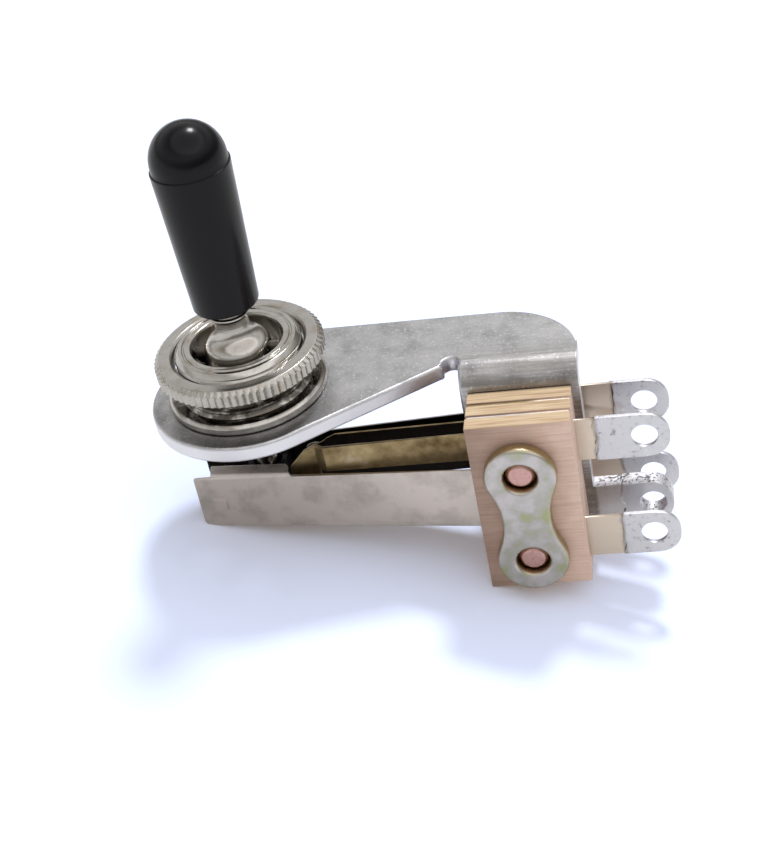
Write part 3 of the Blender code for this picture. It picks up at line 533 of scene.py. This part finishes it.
def small_metal(name, base, gloss):
    """A small turned or headed part of steel or silver: satin, with fine grit that is drawn at 0.35 mm,
    several times its real size, so that it shows."""
    made, add, coords = material(name, Metallic=1.0)
    grit = add("TexNoise", {"Vector": coords, "Scale": per(0.35), "Detail": 3.0})
    tone = add("ValToRGB", {"Fac": grit}, stops=[(0.35, toned(base, 0.86, 0.84, 0.82)), (0.6, base)])
    surface(made, tone, grit, 0.2, 0.015, grit, (gloss, gloss + 0.12))
    return made


def fibre_tube():
    """Vulcanised fibre, rolled: matt red-brown, with faint layers along its length."""
    base = paint("sleeve")
    made, add, coords = material("Vulcanised fibre, rolled", Roughness=0.6)
    grain = add("TexNoise", {"Vector": coords, "Scale": per(0.5), "Detail": 3.0})
    tone = add("ValToRGB", {"Fac": grain}, stops=[(0.35, toned(base, 0.7, 0.7, 0.7)), (0.65, base)])
    surface(made, tone, grain, 0.3, 0.02)
    return made


def socket_tree(name, **inputs):
    """A node group for a mesh, with its named inputs. Returns what adds a node to it, and its inputs."""
    tree = bpy.data.node_groups.new(name, "GeometryNodeTree")
    tree.interface.new_socket("Geometry", in_out="INPUT", socket_type="NodeSocketGeometry")
    for label, kind in inputs.items():
        tree.interface.new_socket(label, in_out="INPUT", socket_type="NodeSocket" + kind)
    tree.interface.new_socket("Geometry", in_out="OUTPUT", socket_type="NodeSocketGeometry")
    add = partial(node, tree)
    return add, add("NodeGroupInput").outputs


def close_tree(add, geometry, finish):
    """End a tree with plain faces of one material, and return it."""
    whole = add("GeometryNodeRealizeInstances", {0: geometry})
    dressed = add("GeometryNodeSetMaterial", {"Geometry": whole, "Material": finish})
    return add("NodeGroupOutput", {0: dressed}).id_data


def run_tree(obj, tree, values):
    """Run the tree on the piece with these inputs, and keep the result as a plain mesh."""
    modifier = obj.modifiers.new(tree.name, "NODES")
    modifier.node_group = tree
    for item in tree.interface.items_tree:
        if item.in_out == "INPUT" and item.name in values:
            modifier[item.identifier] = values[item.name]
    plain(obj)


def turns_about_axis(add, place):
    """How far round the Z axis a place is, in turns."""
    angle = add("Math", {0: place["Y"], 1: place["X"]}, operation="ARCTAN2")
    return add("Math", {0: angle, 1: 2 * math.pi}, operation="DIVIDE")


def move_in(add, take, away, depth, chosen=True):
    """Move the chosen points straight towards the Z axis by this depth, and end the tree."""
    outward = add("VectorMath", {0: away}, operation="NORMALIZE")
    inward = add("VectorMath", {0: outward, "Scale": -1.0}, operation="SCALE")
    offset = add("VectorMath", {0: inward, "Scale": depth}, operation="SCALE")
    moved = add("GeometryNodeSetPosition", {"Geometry": take["Geometry"], "Selection": chosen, "Offset": offset})
    return close_tree(add, moved, take["Material"])


def thread_tree():
    """Cuts a screw thread into a fine cylinder about Z: each point on the crest moves in by a V-shaped
    wave that climbs one pitch in a turn, and fades out at both ends."""
    add, take = socket_tree("Screw thread", Radius="Float", Pitch="Float", Depth="Float", Bottom="Float",
                            Top="Float", Material="Material")
    place, away, radius = about_axis(add, add("GeometryNodeInputPosition"))
    climb = add("Math", {0: place["Z"], 1: take["Pitch"]}, operation="DIVIDE")
    phase = add("Math", {0: climb, 1: turns_about_axis(add, place)}, operation="SUBTRACT")
    wave = add("Math", {0: phase, 1: 0.5}, operation="PINGPONG")
    rise = add("MapRange", {"Value": wave, "From Min": 0.06, "From Max": 0.44})
    above = add("Math", {0: place["Z"], 1: take["Bottom"]}, operation="SUBTRACT")
    below = add("Math", {0: take["Top"], 1: place["Z"]}, operation="SUBTRACT")
    inside = add("Math", {0: above, 1: below}, operation="MINIMUM")
    fade = add("MapRange", {"Value": inside, "From Max": 0.35 * MM})
    share = add("Math", {0: rise, 1: fade}, operation="MULTIPLY")
    deep = add("Math", {0: share, 1: take["Depth"]}, operation="MULTIPLY")
    crest = add("Math", {0: radius, 1: take["Radius"], 2: 0.01 * MM}, operation="COMPARE")
    return move_in(add, take, away, deep, crest)


def knurl_tree():
    """Presses straight grooves into a fine rim about Z, evenly spaced and of one depth."""
    add, take = socket_tree("Straight knurl", Radius="Float", Ridges="Int", Depth="Float", Material="Material")
    place, away, radius = about_axis(add, add("GeometryNodeInputPosition"))
    steps = add("Math", {0: turns_about_axis(add, place), 1: take["Ridges"]}, operation="MULTIPLY")
    wave = add("Math", {0: steps, 1: 0.5}, operation="PINGPONG")
    groove = add("MapRange", {"Value": wave, "From Min": 0.14, "From Max": 0.5})
    reach = add("Math", {0: take["Radius"], 1: radius}, operation="SUBTRACT")
    left = add("Math", {0: take["Depth"], 1: reach}, operation="SUBTRACT")
    limit = add("Math", {0: left, 1: 0.0}, operation="MAXIMUM")
    deep = add("Math", {0: groove, 1: limit}, operation="MULTIPLY")
    return move_in(add, take, away, deep)


def row_tree():
    """Repeats one fastener at each of a row of places along Z, a given step apart."""
    add, take = socket_tree("Row of fasteners", Count="Int", Step="Float", Material="Material")
    up = add("CombineXYZ", {"Z": take["Step"]})
    row = add("GeometryNodeMeshLine", {"Count": take["Count"], "Offset": up})
    placed = add("GeometryNodeInstanceOnPoints", {"Points": row, "Instance": take["Geometry"]})
    return close_tree(add, placed, take["Material"])


def mark(obj, name, share):
    """Store a value for each face from its middle in mm and its normal, for edges, tops and the painted shade on
    hidden sides.
    """
    mesh = obj.data
    layer = mesh.attributes.new(name, "FLOAT", "FACE")
    layer.data.foreach_set("value", [share(f.center / MM, f.normal) for f in mesh.polygons])


def cut_across(obj, first_x, rows):
    """Lay rows of points across a leaf, leftwards from a place in mm, so that it can bend or change there."""
    bm = bmesh.new()
    bm.from_mesh(obj.data)
    for i in range(rows):
        bmesh.ops.bisect_plane(bm, geom=bm.verts[:] + bm.edges[:] + bm.faces[:], dist=1e-7,
                               plane_co=((first_x - 0.3 * i) * MM, 0, 0), plane_no=(1, 0, 0))
    bm.to_mesh(obj.data)
    bm.free()


def mark_painted_shade(obj, place):
    """Painted shade: marks a rear leaf's faces left of the block on the side facing the lever's foot, which are
    painted near black for the shadow inside the leaf stack.
    """
    mark(obj, "soot", lambda centre, normal: float(place == "rear" and normal.y < -0.3 and centre.x < BLOCK_X))


def wavy_tin(obj, start_x, wave):
    """Let the straight step where a lug's tin begins wander a little, as dipped solder does."""
    near = 1e-5
    bm = bmesh.new()
    bm.from_mesh(obj.data)
    step = [e for e in bm.edges if all(abs(v.co.x - start_x) < near for v in e.verts) and e.calc_length() > MM]
    bmesh.ops.subdivide_edges(bm, edges=step, cuts=11)
    for vert in bm.verts:
        if abs(vert.co.x - start_x) < near:
            side = 5.0 if vert.co.y > 0 else 0.0  # a rear leaf's line differs from the front one's
            vert.co.x += wave * noise.noise(Vector((vert.co.z / MM * 0.8, side, round(vert.co.y / MM))))
    bm.to_mesh(obj.data)
    bm.free()


def leaf_weight(middle):
    """Tin edges and the outer leaves' upper free corner get a small rounding, the embossed dimple a large
    one, and the rest of a leaf its full one."""
    dimple_x, dimple_z, dimple_reach = -4.85, -11.2, 0.7
    corner_x, corner_z = -6.0, -9.2
    if abs(middle.x - dimple_x) < dimple_reach and abs(middle.z - dimple_z) < dimple_reach:
        return 0.9
    if middle.x < corner_x and middle.z > corner_z:
        return 0.3
    return 0.4 if middle.x > FRONT_INNER_TIN_X - 0.6 else 1.0


def leaf_strip(node_name, place, tin_x, first_x, rows):
    """A leaf with its wavy tin line, its rounded edges, its rows of points and, on a rear leaf, the faces marked
    for painted shade.
    """
    obj = copy_of(node_name, node_name + "_strip")
    wavy_tin(obj, tin_x * MM, sizes().tin_wave)
    soften(obj, sizes().leaf_edge, 2, leaf_weight)
    cut_across(obj, first_x, rows)
    mark_painted_shade(obj, place)
    shade(obj)
    return obj


class SWITCH_OT_stage(bpy.types.Operator):
    """Set the pale floor that the switch lies on, a small lamp, a broad window, the room and the camera"""

    bl_idname = "switch.stage"
    bl_label = "Stage"

    def execute(self, context):
        scene = context.scene
        scene.view_settings.view_transform = "Standard"
        self.camera(scene)
        across, back, up = self.floor()
        self.lamp("Lamp behind", across * -0.05 + back * 0.6 + up, 1.65, 10)
        self.lamp("Broad window", across * -0.05 - back * 0.1 + up, 1.25, 85)
        self.room(scene)
        return {"FINISHED"}

    def camera(self, scene):
        """The lens, place and turn found from the photograph's own edges."""
        turn, height, roll = (math.radians(a) for a in (-12.84, 35.80, -12.23))
        aside, above, distance = 13.33, -4.29, 176.34
        ahead = Vector((math.sin(turn) * math.cos(height), math.cos(turn) * math.cos(height), -math.sin(height)))
        level = Vector((math.cos(turn), -math.sin(turn), 0))
        upright = level.cross(ahead)
        right = level * math.cos(roll) + upright * math.sin(roll)
        top = upright * math.cos(roll) - level * math.sin(roll)
        data = bpy.data.cameras.new("Photograph's view")
        data.sensor_width = SENSOR
        data.lens = FOCAL_PIXELS / PHOTO_HEIGHT * SENSOR
        data.clip_start = 0.01
        camera = bpy.data.objects.new("Photograph's view", data)
        place = (right * aside + top * above - ahead * distance) * MM
        camera.matrix_world = Matrix.Translation(place) @ Matrix((right, top, -ahead)).transposed().to_4x4()
        scene.collection.objects.link(camera)
        scene.camera = camera

    def floor(self):
        """The plane under the block's lower edge and the leaves' ends, which the switch leans on. The camera
        sees white paper with a cool shadow, and the switch is lit by plain paper."""
        leaf_end_z, reach = -13.75, 900
        block_low, _ = millimetres("front_outer_insulator")
        leaf_low, _ = millimetres("front_outer_leaf")
        foot = Vector((block_low.x, 0, block_low.z))
        tip = Vector((leaf_low.x + 0.4, 0, leaf_end_z))
        across = (foot - tip).normalized()
        back = Vector((0, 1, 0))
        up = across.cross(back)
        bm = bmesh.new()
        bm.faces.new([bm.verts.new((foot + across * u * reach + back * v * reach) * MM)
                      for u, v in ((-1, -1), (1, -1), (1, 1), (-1, 1))])
        floor = mesh_object("Floor", bm)
        if floor.data.polygons[0].normal.dot(up) < 0:
            floor.data.flip_normals()
        made = bpy.data.materials.new("White paper, cool in the shadow")
        made.use_nodes = True
        made.node_tree.nodes.clear()
        add = partial(node, made.node_tree)
        path = add("LightPath")
        seen = add("BsdfDiffuse", {"Color": (0.81, 0.95, 1.3, 1)})
        glow = add("Emission", {"Color": (0.138, 0.10, 0.05, 1)})
        tinted = add("AddShader", {0: seen, 1: glow})
        paper = add("BsdfDiffuse", {"Color": grey(0.9)})
        front = add("MixShader", {0: path.outputs["Is Camera Ray"], 1: paper, 2: tinted})
        back_face = add("NewGeometry").outputs["Backfacing"]
        under = add("BsdfTransparent")
        whole = add("MixShader", {0: back_face, 1: front, 2: under})
        add("OutputMaterial", {"Surface": whole})
        floor.data.materials.append(made)
        return across, back, up

    def lamp(self, name, towards, strength, size):
        """A lamp as far off as the sun, from this direction and `size` degrees across."""
        data = bpy.data.lights.new(name, "SUN")
        data.energy = strength
        data.angle = math.radians(size)
        lamp = bpy.data.objects.new(name, data)
        lamp.rotation_euler = towards.normalized().to_track_quat("Z", "Y").to_euler()
        bpy.context.scene.collection.objects.link(lamp)

    def room(self, scene):
        """White all round for the eye. Metal sees the same white with the room's darker parts in it:
        a brownish ceiling, and a dark band just above the horizon all round, for the photographer in front."""
        world = bpy.data.worlds.new("Bright room")
        world.use_nodes = True
        world.node_tree.nodes.clear()
        add = partial(node, world.node_tree)
        path = add("LightPath").outputs
        way = add("SeparateXYZ", {0: add("TexCoord").outputs["Generated"]})
        height = add("MapRange", {"Value": way.outputs["Z"], "From Min": -1.0})
        bands = add("ValToRGB", {"Fac": height}, stops=[
            (0.45, grey(0.95)), (0.52, (0.16, 0.14, 0.13, 1)), (0.62, (0.36, 0.33, 0.30, 1)), (0.72, grey(0.95)),
            (0.82, (0.75, 0.74, 0.72, 1)), (0.93, (0.30, 0.26, 0.22, 1)), (1.0, (0.2, 0.17, 0.14, 1))])
        seen, shine, fill = (add("Background", {"Color": tint}) for tint in (grey(1.0), bands, grey(0.33)))
        mirror = add("Math", {0: path["Is Glossy Ray"], 1: path["Is Transmission Ray"]}, operation="MAXIMUM")
        lit = add("MixShader", {0: mirror, 1: fill, 2: shine})
        whole = add("MixShader", {0: path["Is Camera Ray"], 1: lit, 2: seen})
        add("OutputWorld", {"Surface": whole})
        scene.world = world


class SWITCH_OT_bracket(bpy.types.Operator):
    """Build the folded bracket with its rolled-off edges and tinned ground lug"""

    bl_idname = "switch.bracket"
    bl_label = "Bracket"

    def execute(self, context):
        lug_x, thinning_x, seat_r, flange_z = 30.3, 27.0, 7.6, -2.3

        def weight(middle):
            """The lug, the plate's right end and the coined seat are crisp, and the flange is in between."""
            if middle.x > lug_x and middle.y < 3.6:
                return 0.3
            if middle.x > thinning_x:
                return max(0.3, 1.0 - 0.2 * (middle.x - thinning_x))
            if abs(math.hypot(middle.x, middle.y) - seat_r) < 0.1 and middle.z > -1.0:
                return 0.06
            return 0.6 if middle.z < flange_z - 0.1 else 1.0

        def cut_edge_faces(centre, normal):
            """The faces that run round the sheet's cut edge."""
            if centre.z < flange_z:
                return 1 - abs(normal.y)
            if centre.y < 1.5 and centre.x > 19.5:
                return abs(normal.x)
            return 1 - abs(normal.z)

        obj = copy_of("bracket_frame", "bracket")
        wavy_tin(obj, TIN_START_X * MM, sizes().tin_wave)
        soften(obj, sizes().sheet_edge, 3, weight)
        mark(obj, "rim", cut_edge_faces)
        shade(obj)
        dress(obj, zinc_plated_sheet(), "plated_steel", "base", "bracket_frame")
        return {"FINISHED"}


class SWITCH_OT_bushing(bpy.types.Operator):
    """Turn the bushing: its shoulder, real thread, grooved rim, bowl and pin slots"""

    bl_idname = "switch.bushing"
    bl_label = "Bushing"

    def execute(self, context):
        low, high = millimetres("threaded_bushing")
        foot, top, shoulder_r = low.z, high.z, high.x
        flange_r, bore_r, throat_r = 6.9, 4.6, 3.3
        thread_r, thread_foot, thread_end, row_height = 5.95, 1.25, top - 0.5, 0.09
        rows = int((thread_end - thread_foot) / row_height)
        thread = [(thread_r, thread_foot + (thread_end - thread_foot) * i / rows, 0) for i in range(rows + 1)]
        bowl = [(*point, 0) for point in arc((throat_r, top - 0.15), (1.0, -1.8), range(0, 91, 9))]
        profile = rounded([
            (bore_r, foot, 0.1), (flange_r - 0.3, foot, 0.15), (flange_r, foot + 0.3, 0.15),
            (flange_r, foot + 0.7, 0.05), (thread_r, foot + 0.7, 0.0), (thread_r, 0.05, 0.0),
            (shoulder_r, 0.05, 0.05), (shoulder_r, 0.65, 0.12), (shoulder_r - 0.3, 0.95, 0.12),
            (thread_r + 0.3, 0.95, 0.0), *thread, (thread_r - 0.45, top - 0.03, 0.1), (5.2, top, 0.05),
            (5.1, top - 0.14, 0.03), (4.98, top - 0.14, 0.03), (4.9, top, 0.05), (4.42, top, 0.12),
            *bowl, (throat_r, 1.2, 0.1)])
        # The dark band from 0.8 to 3.9 mm is painted shade for the nut's shadow on the thread.
        finish = turned_nickel("Nickel-plated brass, turned and polished", 0.1, (0.8, 3.9))
        obj = lathe("bushing", profile, 160)
        run_tree(obj, thread_tree(), {
            "Radius": thread_r * MM, "Pitch": sizes().thread_pitch, "Depth": sizes().thread_depth,
            "Bottom": thread_foot * MM, "Top": (thread_end + 0.1) * MM, "Material": finish})
        slot_r, slot_low, slot_top = 0.55, -4, 5.05
        slot = rounded([(-slot_r, slot_low, 0), (-slot_r, slot_top, 0.54), (slot_r, slot_top, 0.54),
                        (slot_r, slot_low, 0)], 8)
        carve(obj, prism("slot", slot, -4.15, 4.15))
        shade(obj, 40)
        dress(obj, finish, "bright_nickel", "base", "threaded_bushing")
        return {"FINISHED"}


class SWITCH_OT_nut(bpy.types.Operator):
    """Turn the round nut and press the knurl into its rim"""

    bl_idname = "switch.nut"
    bl_label = "Knurled nut"

    def execute(self, context):
        low, high = millimetres("knurled_nut")
        rim_r, bottom, top = high.x, low.z, high.z
        hole_r, cone_r, points_per_ridge = 6.1, 7.45, 8
        profile = rounded([
            (hole_r + 0.35, bottom, 0.05), (rim_r - 0.12, bottom, 0.04), (rim_r, bottom + 0.12, 0.04),
            (rim_r, bottom + 0.3, 0), (rim_r, top - 0.65, 0), (rim_r, top - 0.42, 0.06), (cone_r, top, 0.1),
            (hole_r + 0.35, top, 0.06), (hole_r, top - 0.35, 0.05), (hole_r, bottom + 0.35, 0.05)])
        finish = turned_nickel("Nickel-plated brass, turned and knurled", 0.2)
        ridges = sizes().knurl_ridges
        obj = lathe("nut", profile, ridges * points_per_ridge)
        run_tree(obj, knurl_tree(), {
            "Radius": rim_r * MM, "Ridges": ridges, "Depth": sizes().knurl_depth, "Material": finish})
        shade(obj, 30)
        dress(obj, finish, "bright_nickel", "nut", "knurled_nut")
        return {"FINISHED"}


class SWITCH_OT_lever(bpy.types.Operator):
    """Turn the lever with its ball, and put the pivot pin through it"""

    bl_idname = "switch.lever"
    bl_label = "Lever and pin"

    def execute(self, context):
        low, high = millimetres("toggle_lever")
        pivot, ball, shaft, lower, hole = 4.5, 3.15, 1.7, 1.15, 0.65
        start = -math.degrees(math.acos(lower / ball))
        neck = [(3.05, 5.2), (2.93, 5.45), (2.75, 5.68), (2.53, 5.88), (2.3, 6.05), (2.08, 6.22), (1.9, 6.42),
                (1.76, 6.66), (1.66, 6.94), (1.6, 7.25), (1.57, 7.6), (1.57, 8.0), (1.6, 8.3), (1.66, 8.44)]
        collar = [(1.86, 8.47), (1.93, 8.53), (1.93, 8.68), (1.88, 8.73)]
        profile = [
            (0, low.z), (lower - 0.3, low.z), (lower, low.z + 0.3),
            *arc((0, pivot), (ball, ball), [start + (8 - start) * i / 24 for i in range(25)]), *neck, *collar,
            (shaft, 8.75), (shaft, high.z - 0.3), (shaft - 0.3, high.z), (0, high.z)]
        lever = lathe("lever", profile, 96)
        carve(lever, lathe("pin hole", [(0, -4), (hole, -4), (hole, 4), (0, 4)], 48, "X", (0, pivot)))
        shade(lever, 40)
        finish = turned_nickel("Nickel-plated brass, turned lever", 0.12)
        dress(lever, finish, "bright_nickel", "lever", "toggle_lever")
        pin_low, pin_high = millimetres("pivot_pin")
        pin_r = (pin_high.z - pin_low.z) / 2 - 0.002
        pin = lathe("pin", rounded([
            (0, pin_low.x, 0), (pin_r, pin_low.x, 0.15), (pin_r, pin_high.x, 0.15), (0, pin_high.x, 0)]),
            48, "X", (0, pivot))
        shade(pin, 40)
        # The pin's steel is given a dark grey so that it stays dim in the bowl's slots.
        wire = small_metal("Steel wire, cropped and oily", linear("#5f5a55"), 0.35)
        dress(pin, wire, "screw_steel", "pin", "pivot_pin")
        return {"FINISHED"}


class SWITCH_OT_tip(bpy.types.Operator):
    """Mould the black tip with its tapered barrel, small step and dome"""

    bl_idname = "switch.tip"
    bl_label = "Lever tip"

    def execute(self, context):
        low, high = millimetres("lever_tip")
        dome_r, step_r, foot_r, hole_r = 3.46, 3.62, 3.05, 2.0
        step_z, hole_z = 23.8, 21.0
        dome = [(*point, 0) for point in arc((0, high.z - dome_r), (dome_r, dome_r), range(0, 90, 4))]
        profile = rounded([
            (hole_r, low.z, 0.08), (foot_r, low.z, 0.25), (step_r, step_z, 0.1), (dome_r + 0.02, step_z, 0.02),
            *dome, (0, high.z, 0), (0, hole_z, 0), (hole_r, hole_z, 0)])
        obj = lathe("tip", profile, 128)
        shade(obj, 30)
        dress(obj, moulded_black("Black ABS, moulded", 0.16), "black_plastic", "lever", "lever_tip")
        return {"FINISHED"}


class SWITCH_OT_actuator(bpy.types.Operator):
    """Round the edges of the moulded barrel on the lever's foot"""

    bl_idname = "switch.actuator"
    bl_label = "Leaf actuator"

    def execute(self, context):
        obj = copy_of("leaf_actuator", "actuator")
        soften(obj, 0.2 * MM, 3)
        shade(obj)
        dress(obj, moulded_black("Black nylon, moulded", 0.4), "black_plastic", "lever", "leaf_actuator")
        return {"FINISHED"}


class SWITCH_OT_outer_leaves(bpy.types.Operator):
    """Finish the two long outer leaves, which bend between the block and the moving contacts"""

    bl_idname = "switch.outer_leaves"
    bl_label = "Outer leaves"

    def execute(self, context):
        finish = spring_leaf("Nickel silver strip, rolled, tinned lug", -0.3, TIN_START_X)
        for place, side in (("front", -1), ("rear", 1)):
            node_name = place + "_outer_leaf"
            obj = leaf_strip(node_name, place, TIN_START_X, 20.6, 40)
            dress(obj, finish, "nickel_silver", None, node_name)
            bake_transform(obj)
        return {"FINISHED"}


class SWITCH_OT_inner_leaves(bpy.types.Operator):
    """Finish the two short inner leaves"""

    bl_idname = "switch.inner_leaves"
    bl_label = "Inner leaves"

    def execute(self, context):
        for place, tin_x in (("front", FRONT_INNER_TIN_X), ("rear", TIN_START_X)):
            finish = spring_leaf("Nickel silver strip, flux-stained, tinned " + place + " lug", 0.22, tin_x)
            node_name = place + "_inner_leaf"
            obj = leaf_strip(node_name, place, tin_x, BLOCK_X, 1)
            dress(obj, finish, "nickel_silver", "base", node_name)
        return {"FINISHED"}


class SWITCH_OT_contacts(bpy.types.Operator):
    """Head the four silver contact points"""

    bl_idname = "switch.contacts"
    bl_label = "Contacts"

    def execute(self, context):
        finish = small_metal("Fine silver, headed", linear("#d8d4cc"), 0.24)
        crown = (0.97, 0.9, 0.78, 0.6, 0.35)
        for place, side in (("front", -1), ("rear", 1)):
            for layer, body in (("inner", "base"), ("outer", place + "_contact")):
                node_name = place + "_" + layer + "_contact"
                back, face, centre, radius = round_solid(node_name)
                if (layer == "inner") != (side > 0):
                    back, face = face, back
                lean = (face - back) / 0.3
                profile = [
                    (0, back), (radius, back), (radius, back + 0.08 * lean),
                    *((radius * s, back + lean * (0.12 + 0.18 * math.sqrt(1 - s * s))) for s in crown), (0, face)]
                obj = lathe(place + "_" + layer + "_point", profile, 40, "Y", centre)
                shade(obj, 50)
                dress(obj, finish, "contact_silver", body, node_name)
        return {"FINISHED"}


class SWITCH_OT_insulators(bpy.types.Operator):
    """Break the edges of the six insulating boards"""

    bl_idname = "switch.insulators"
    bl_label = "Insulators"

    def execute(self, context):
        finish = phenolic_board()
        for place in ("front", "rear"):
            for layer in ("inner", "middle", "outer"):
                node_name = place + "_" + layer + "_insulator"
                obj = copy_of(node_name, place + "_" + layer + "_board")
                soften(obj, sizes().board_edge, 2)
                mark(obj, "top", lambda centre, normal: max(0.0, normal.z))
                shade(obj)
                dress(obj, finish, "phenolic_board", "base", node_name)
        return {"FINISHED"}


class SWITCH_OT_clamp(bpy.types.Operator):
    """Finish the figure-of-eight clamp plate"""

    bl_idname = "switch.clamp"
    bl_label = "Clamp plate"

    def execute(self, context):
        obj = copy_of("clamp_plate", "clamp")
        mark(obj, "rim", lambda centre, normal: 1 - abs(normal.y))
        shade(obj, 50)
        dress(obj, passivated_clamp(), "yellow_zinc", "base", "clamp_plate")
        return {"FINISHED"}


class SWITCH_OT_screws(bpy.types.Operator):
    """Make one screw, one washer and one sleeve, and repeat each for the second place"""

    bl_idname = "switch.screws"
    bl_label = "Screws, washers and sleeves"

    def execute(self, context):
        near, far, centre, head_r = round_solid("lower_screw")
        shank_r, under_head = 1.41, far - 1.7
        screw = lathe("screws", rounded([
            (0, near, 0), (shank_r - 0.35, near, 0.3), (shank_r, near + 0.4, 0.25), (shank_r, under_head, 0.0),
            (head_r, under_head, 0.08), (head_r, far, 0.3), (0, far, 0)]), 64, "Y", centre)
        slot_foot, slot_top, slot_half = far - 0.8, far + 1, 0.35
        slot = [(slot_foot, centre[1] - slot_half), (slot_top, centre[1] - slot_half),
                (slot_top, centre[1] + slot_half), (slot_foot, centre[1] + slot_half)]
        carve(screw, prism("slot", slot, centre[0] - 4, centre[0] + 4))
        steel = small_metal("Copper-washed steel, headed and rolled", paint("screw"), 0.26)
        self.repeat(screw, "screw", steel, "screw_steel")
        zinc = small_metal("Zinc-plated steel, stamped washer", linear("#b5b4b2"), 0.3)
        sleeve_hole_r = round_solid("lower_sleeve")[3] - 0.47
        for part, hole_r, corners, finish, slot in (
                ("washer", 1.57, (0.05, 0.1, 0.12, 0.08), zinc, "screw_steel"),
                ("sleeve", sleeve_hole_r, (0.05, 0.05, 0.05, 0.05), fibre_tube(), "sleeve_tube")):
            near, far, _, radius = round_solid("lower_" + part)
            outline = zip((hole_r, radius, radius, hole_r), (near, near, far, far), corners)
            self.repeat(lathe(part + "s", rounded(list(outline)), 64, "Y", centre), part, finish, slot)
        return {"FINISHED"}

    def repeat(self, obj, part, finish, slot):
        """Put the piece at both screws' places."""
        step = millimetres("upper_screw")[0].z - millimetres("lower_screw")[0].z
        run_tree(obj, row_tree(), {"Count": 2, "Step": step * MM, "Material": finish})
        shade(obj, 40)
        dress(obj, finish, slot, "base", "lower_" + part, "upper_" + part)


PIECES = (
    SWITCH_OT_bracket, SWITCH_OT_bushing, SWITCH_OT_nut, SWITCH_OT_lever, SWITCH_OT_tip, SWITCH_OT_actuator,
    SWITCH_OT_outer_leaves, SWITCH_OT_inner_leaves, SWITCH_OT_contacts, SWITCH_OT_insulators, SWITCH_OT_clamp,
    SWITCH_OT_screws, SWITCH_OT_stage,
)


class SWITCH_PT_panel(bpy.types.Panel):
    """Lists the pieces of the switch"""

    bl_idname = "SWITCH_PT_panel"
    bl_label = "Pickup Selector Switch"
    bl_space_type = "VIEW_3D"
    bl_region_type = "UI"
    bl_category = "Switch"

    def draw(self, context):
        for group in (context.scene.switch_sizes, context.scene.switch_colours):
            box = self.layout.box()
            for name in group.bl_rna.properties.keys():
                if name not in {"rna_type", "name"}:
                    box.prop(group, name)
        for piece in PIECES:
            self.layout.operator(piece.bl_idname)


CLASSES = (SwitchSizes, SwitchColours, *PIECES, SWITCH_PT_panel)


def register():
    for cls in CLASSES:
        bpy.utils.register_class(cls)
    bpy.types.Scene.switch_sizes = PointerProperty(type=SwitchSizes)
    bpy.types.Scene.switch_colours = PointerProperty(type=SwitchColours)


def unregister():
    del bpy.types.Scene.switch_colours
    del bpy.types.Scene.switch_sizes
    for cls in reversed(CLASSES):
        bpy.utils.unregister_class(cls)


def main():
    register()
    for piece in PIECES:
        group, name = piece.bl_idname.split(".")
        getattr(getattr(bpy.ops, group), name)()


if __name__ == "__main__":
    main()
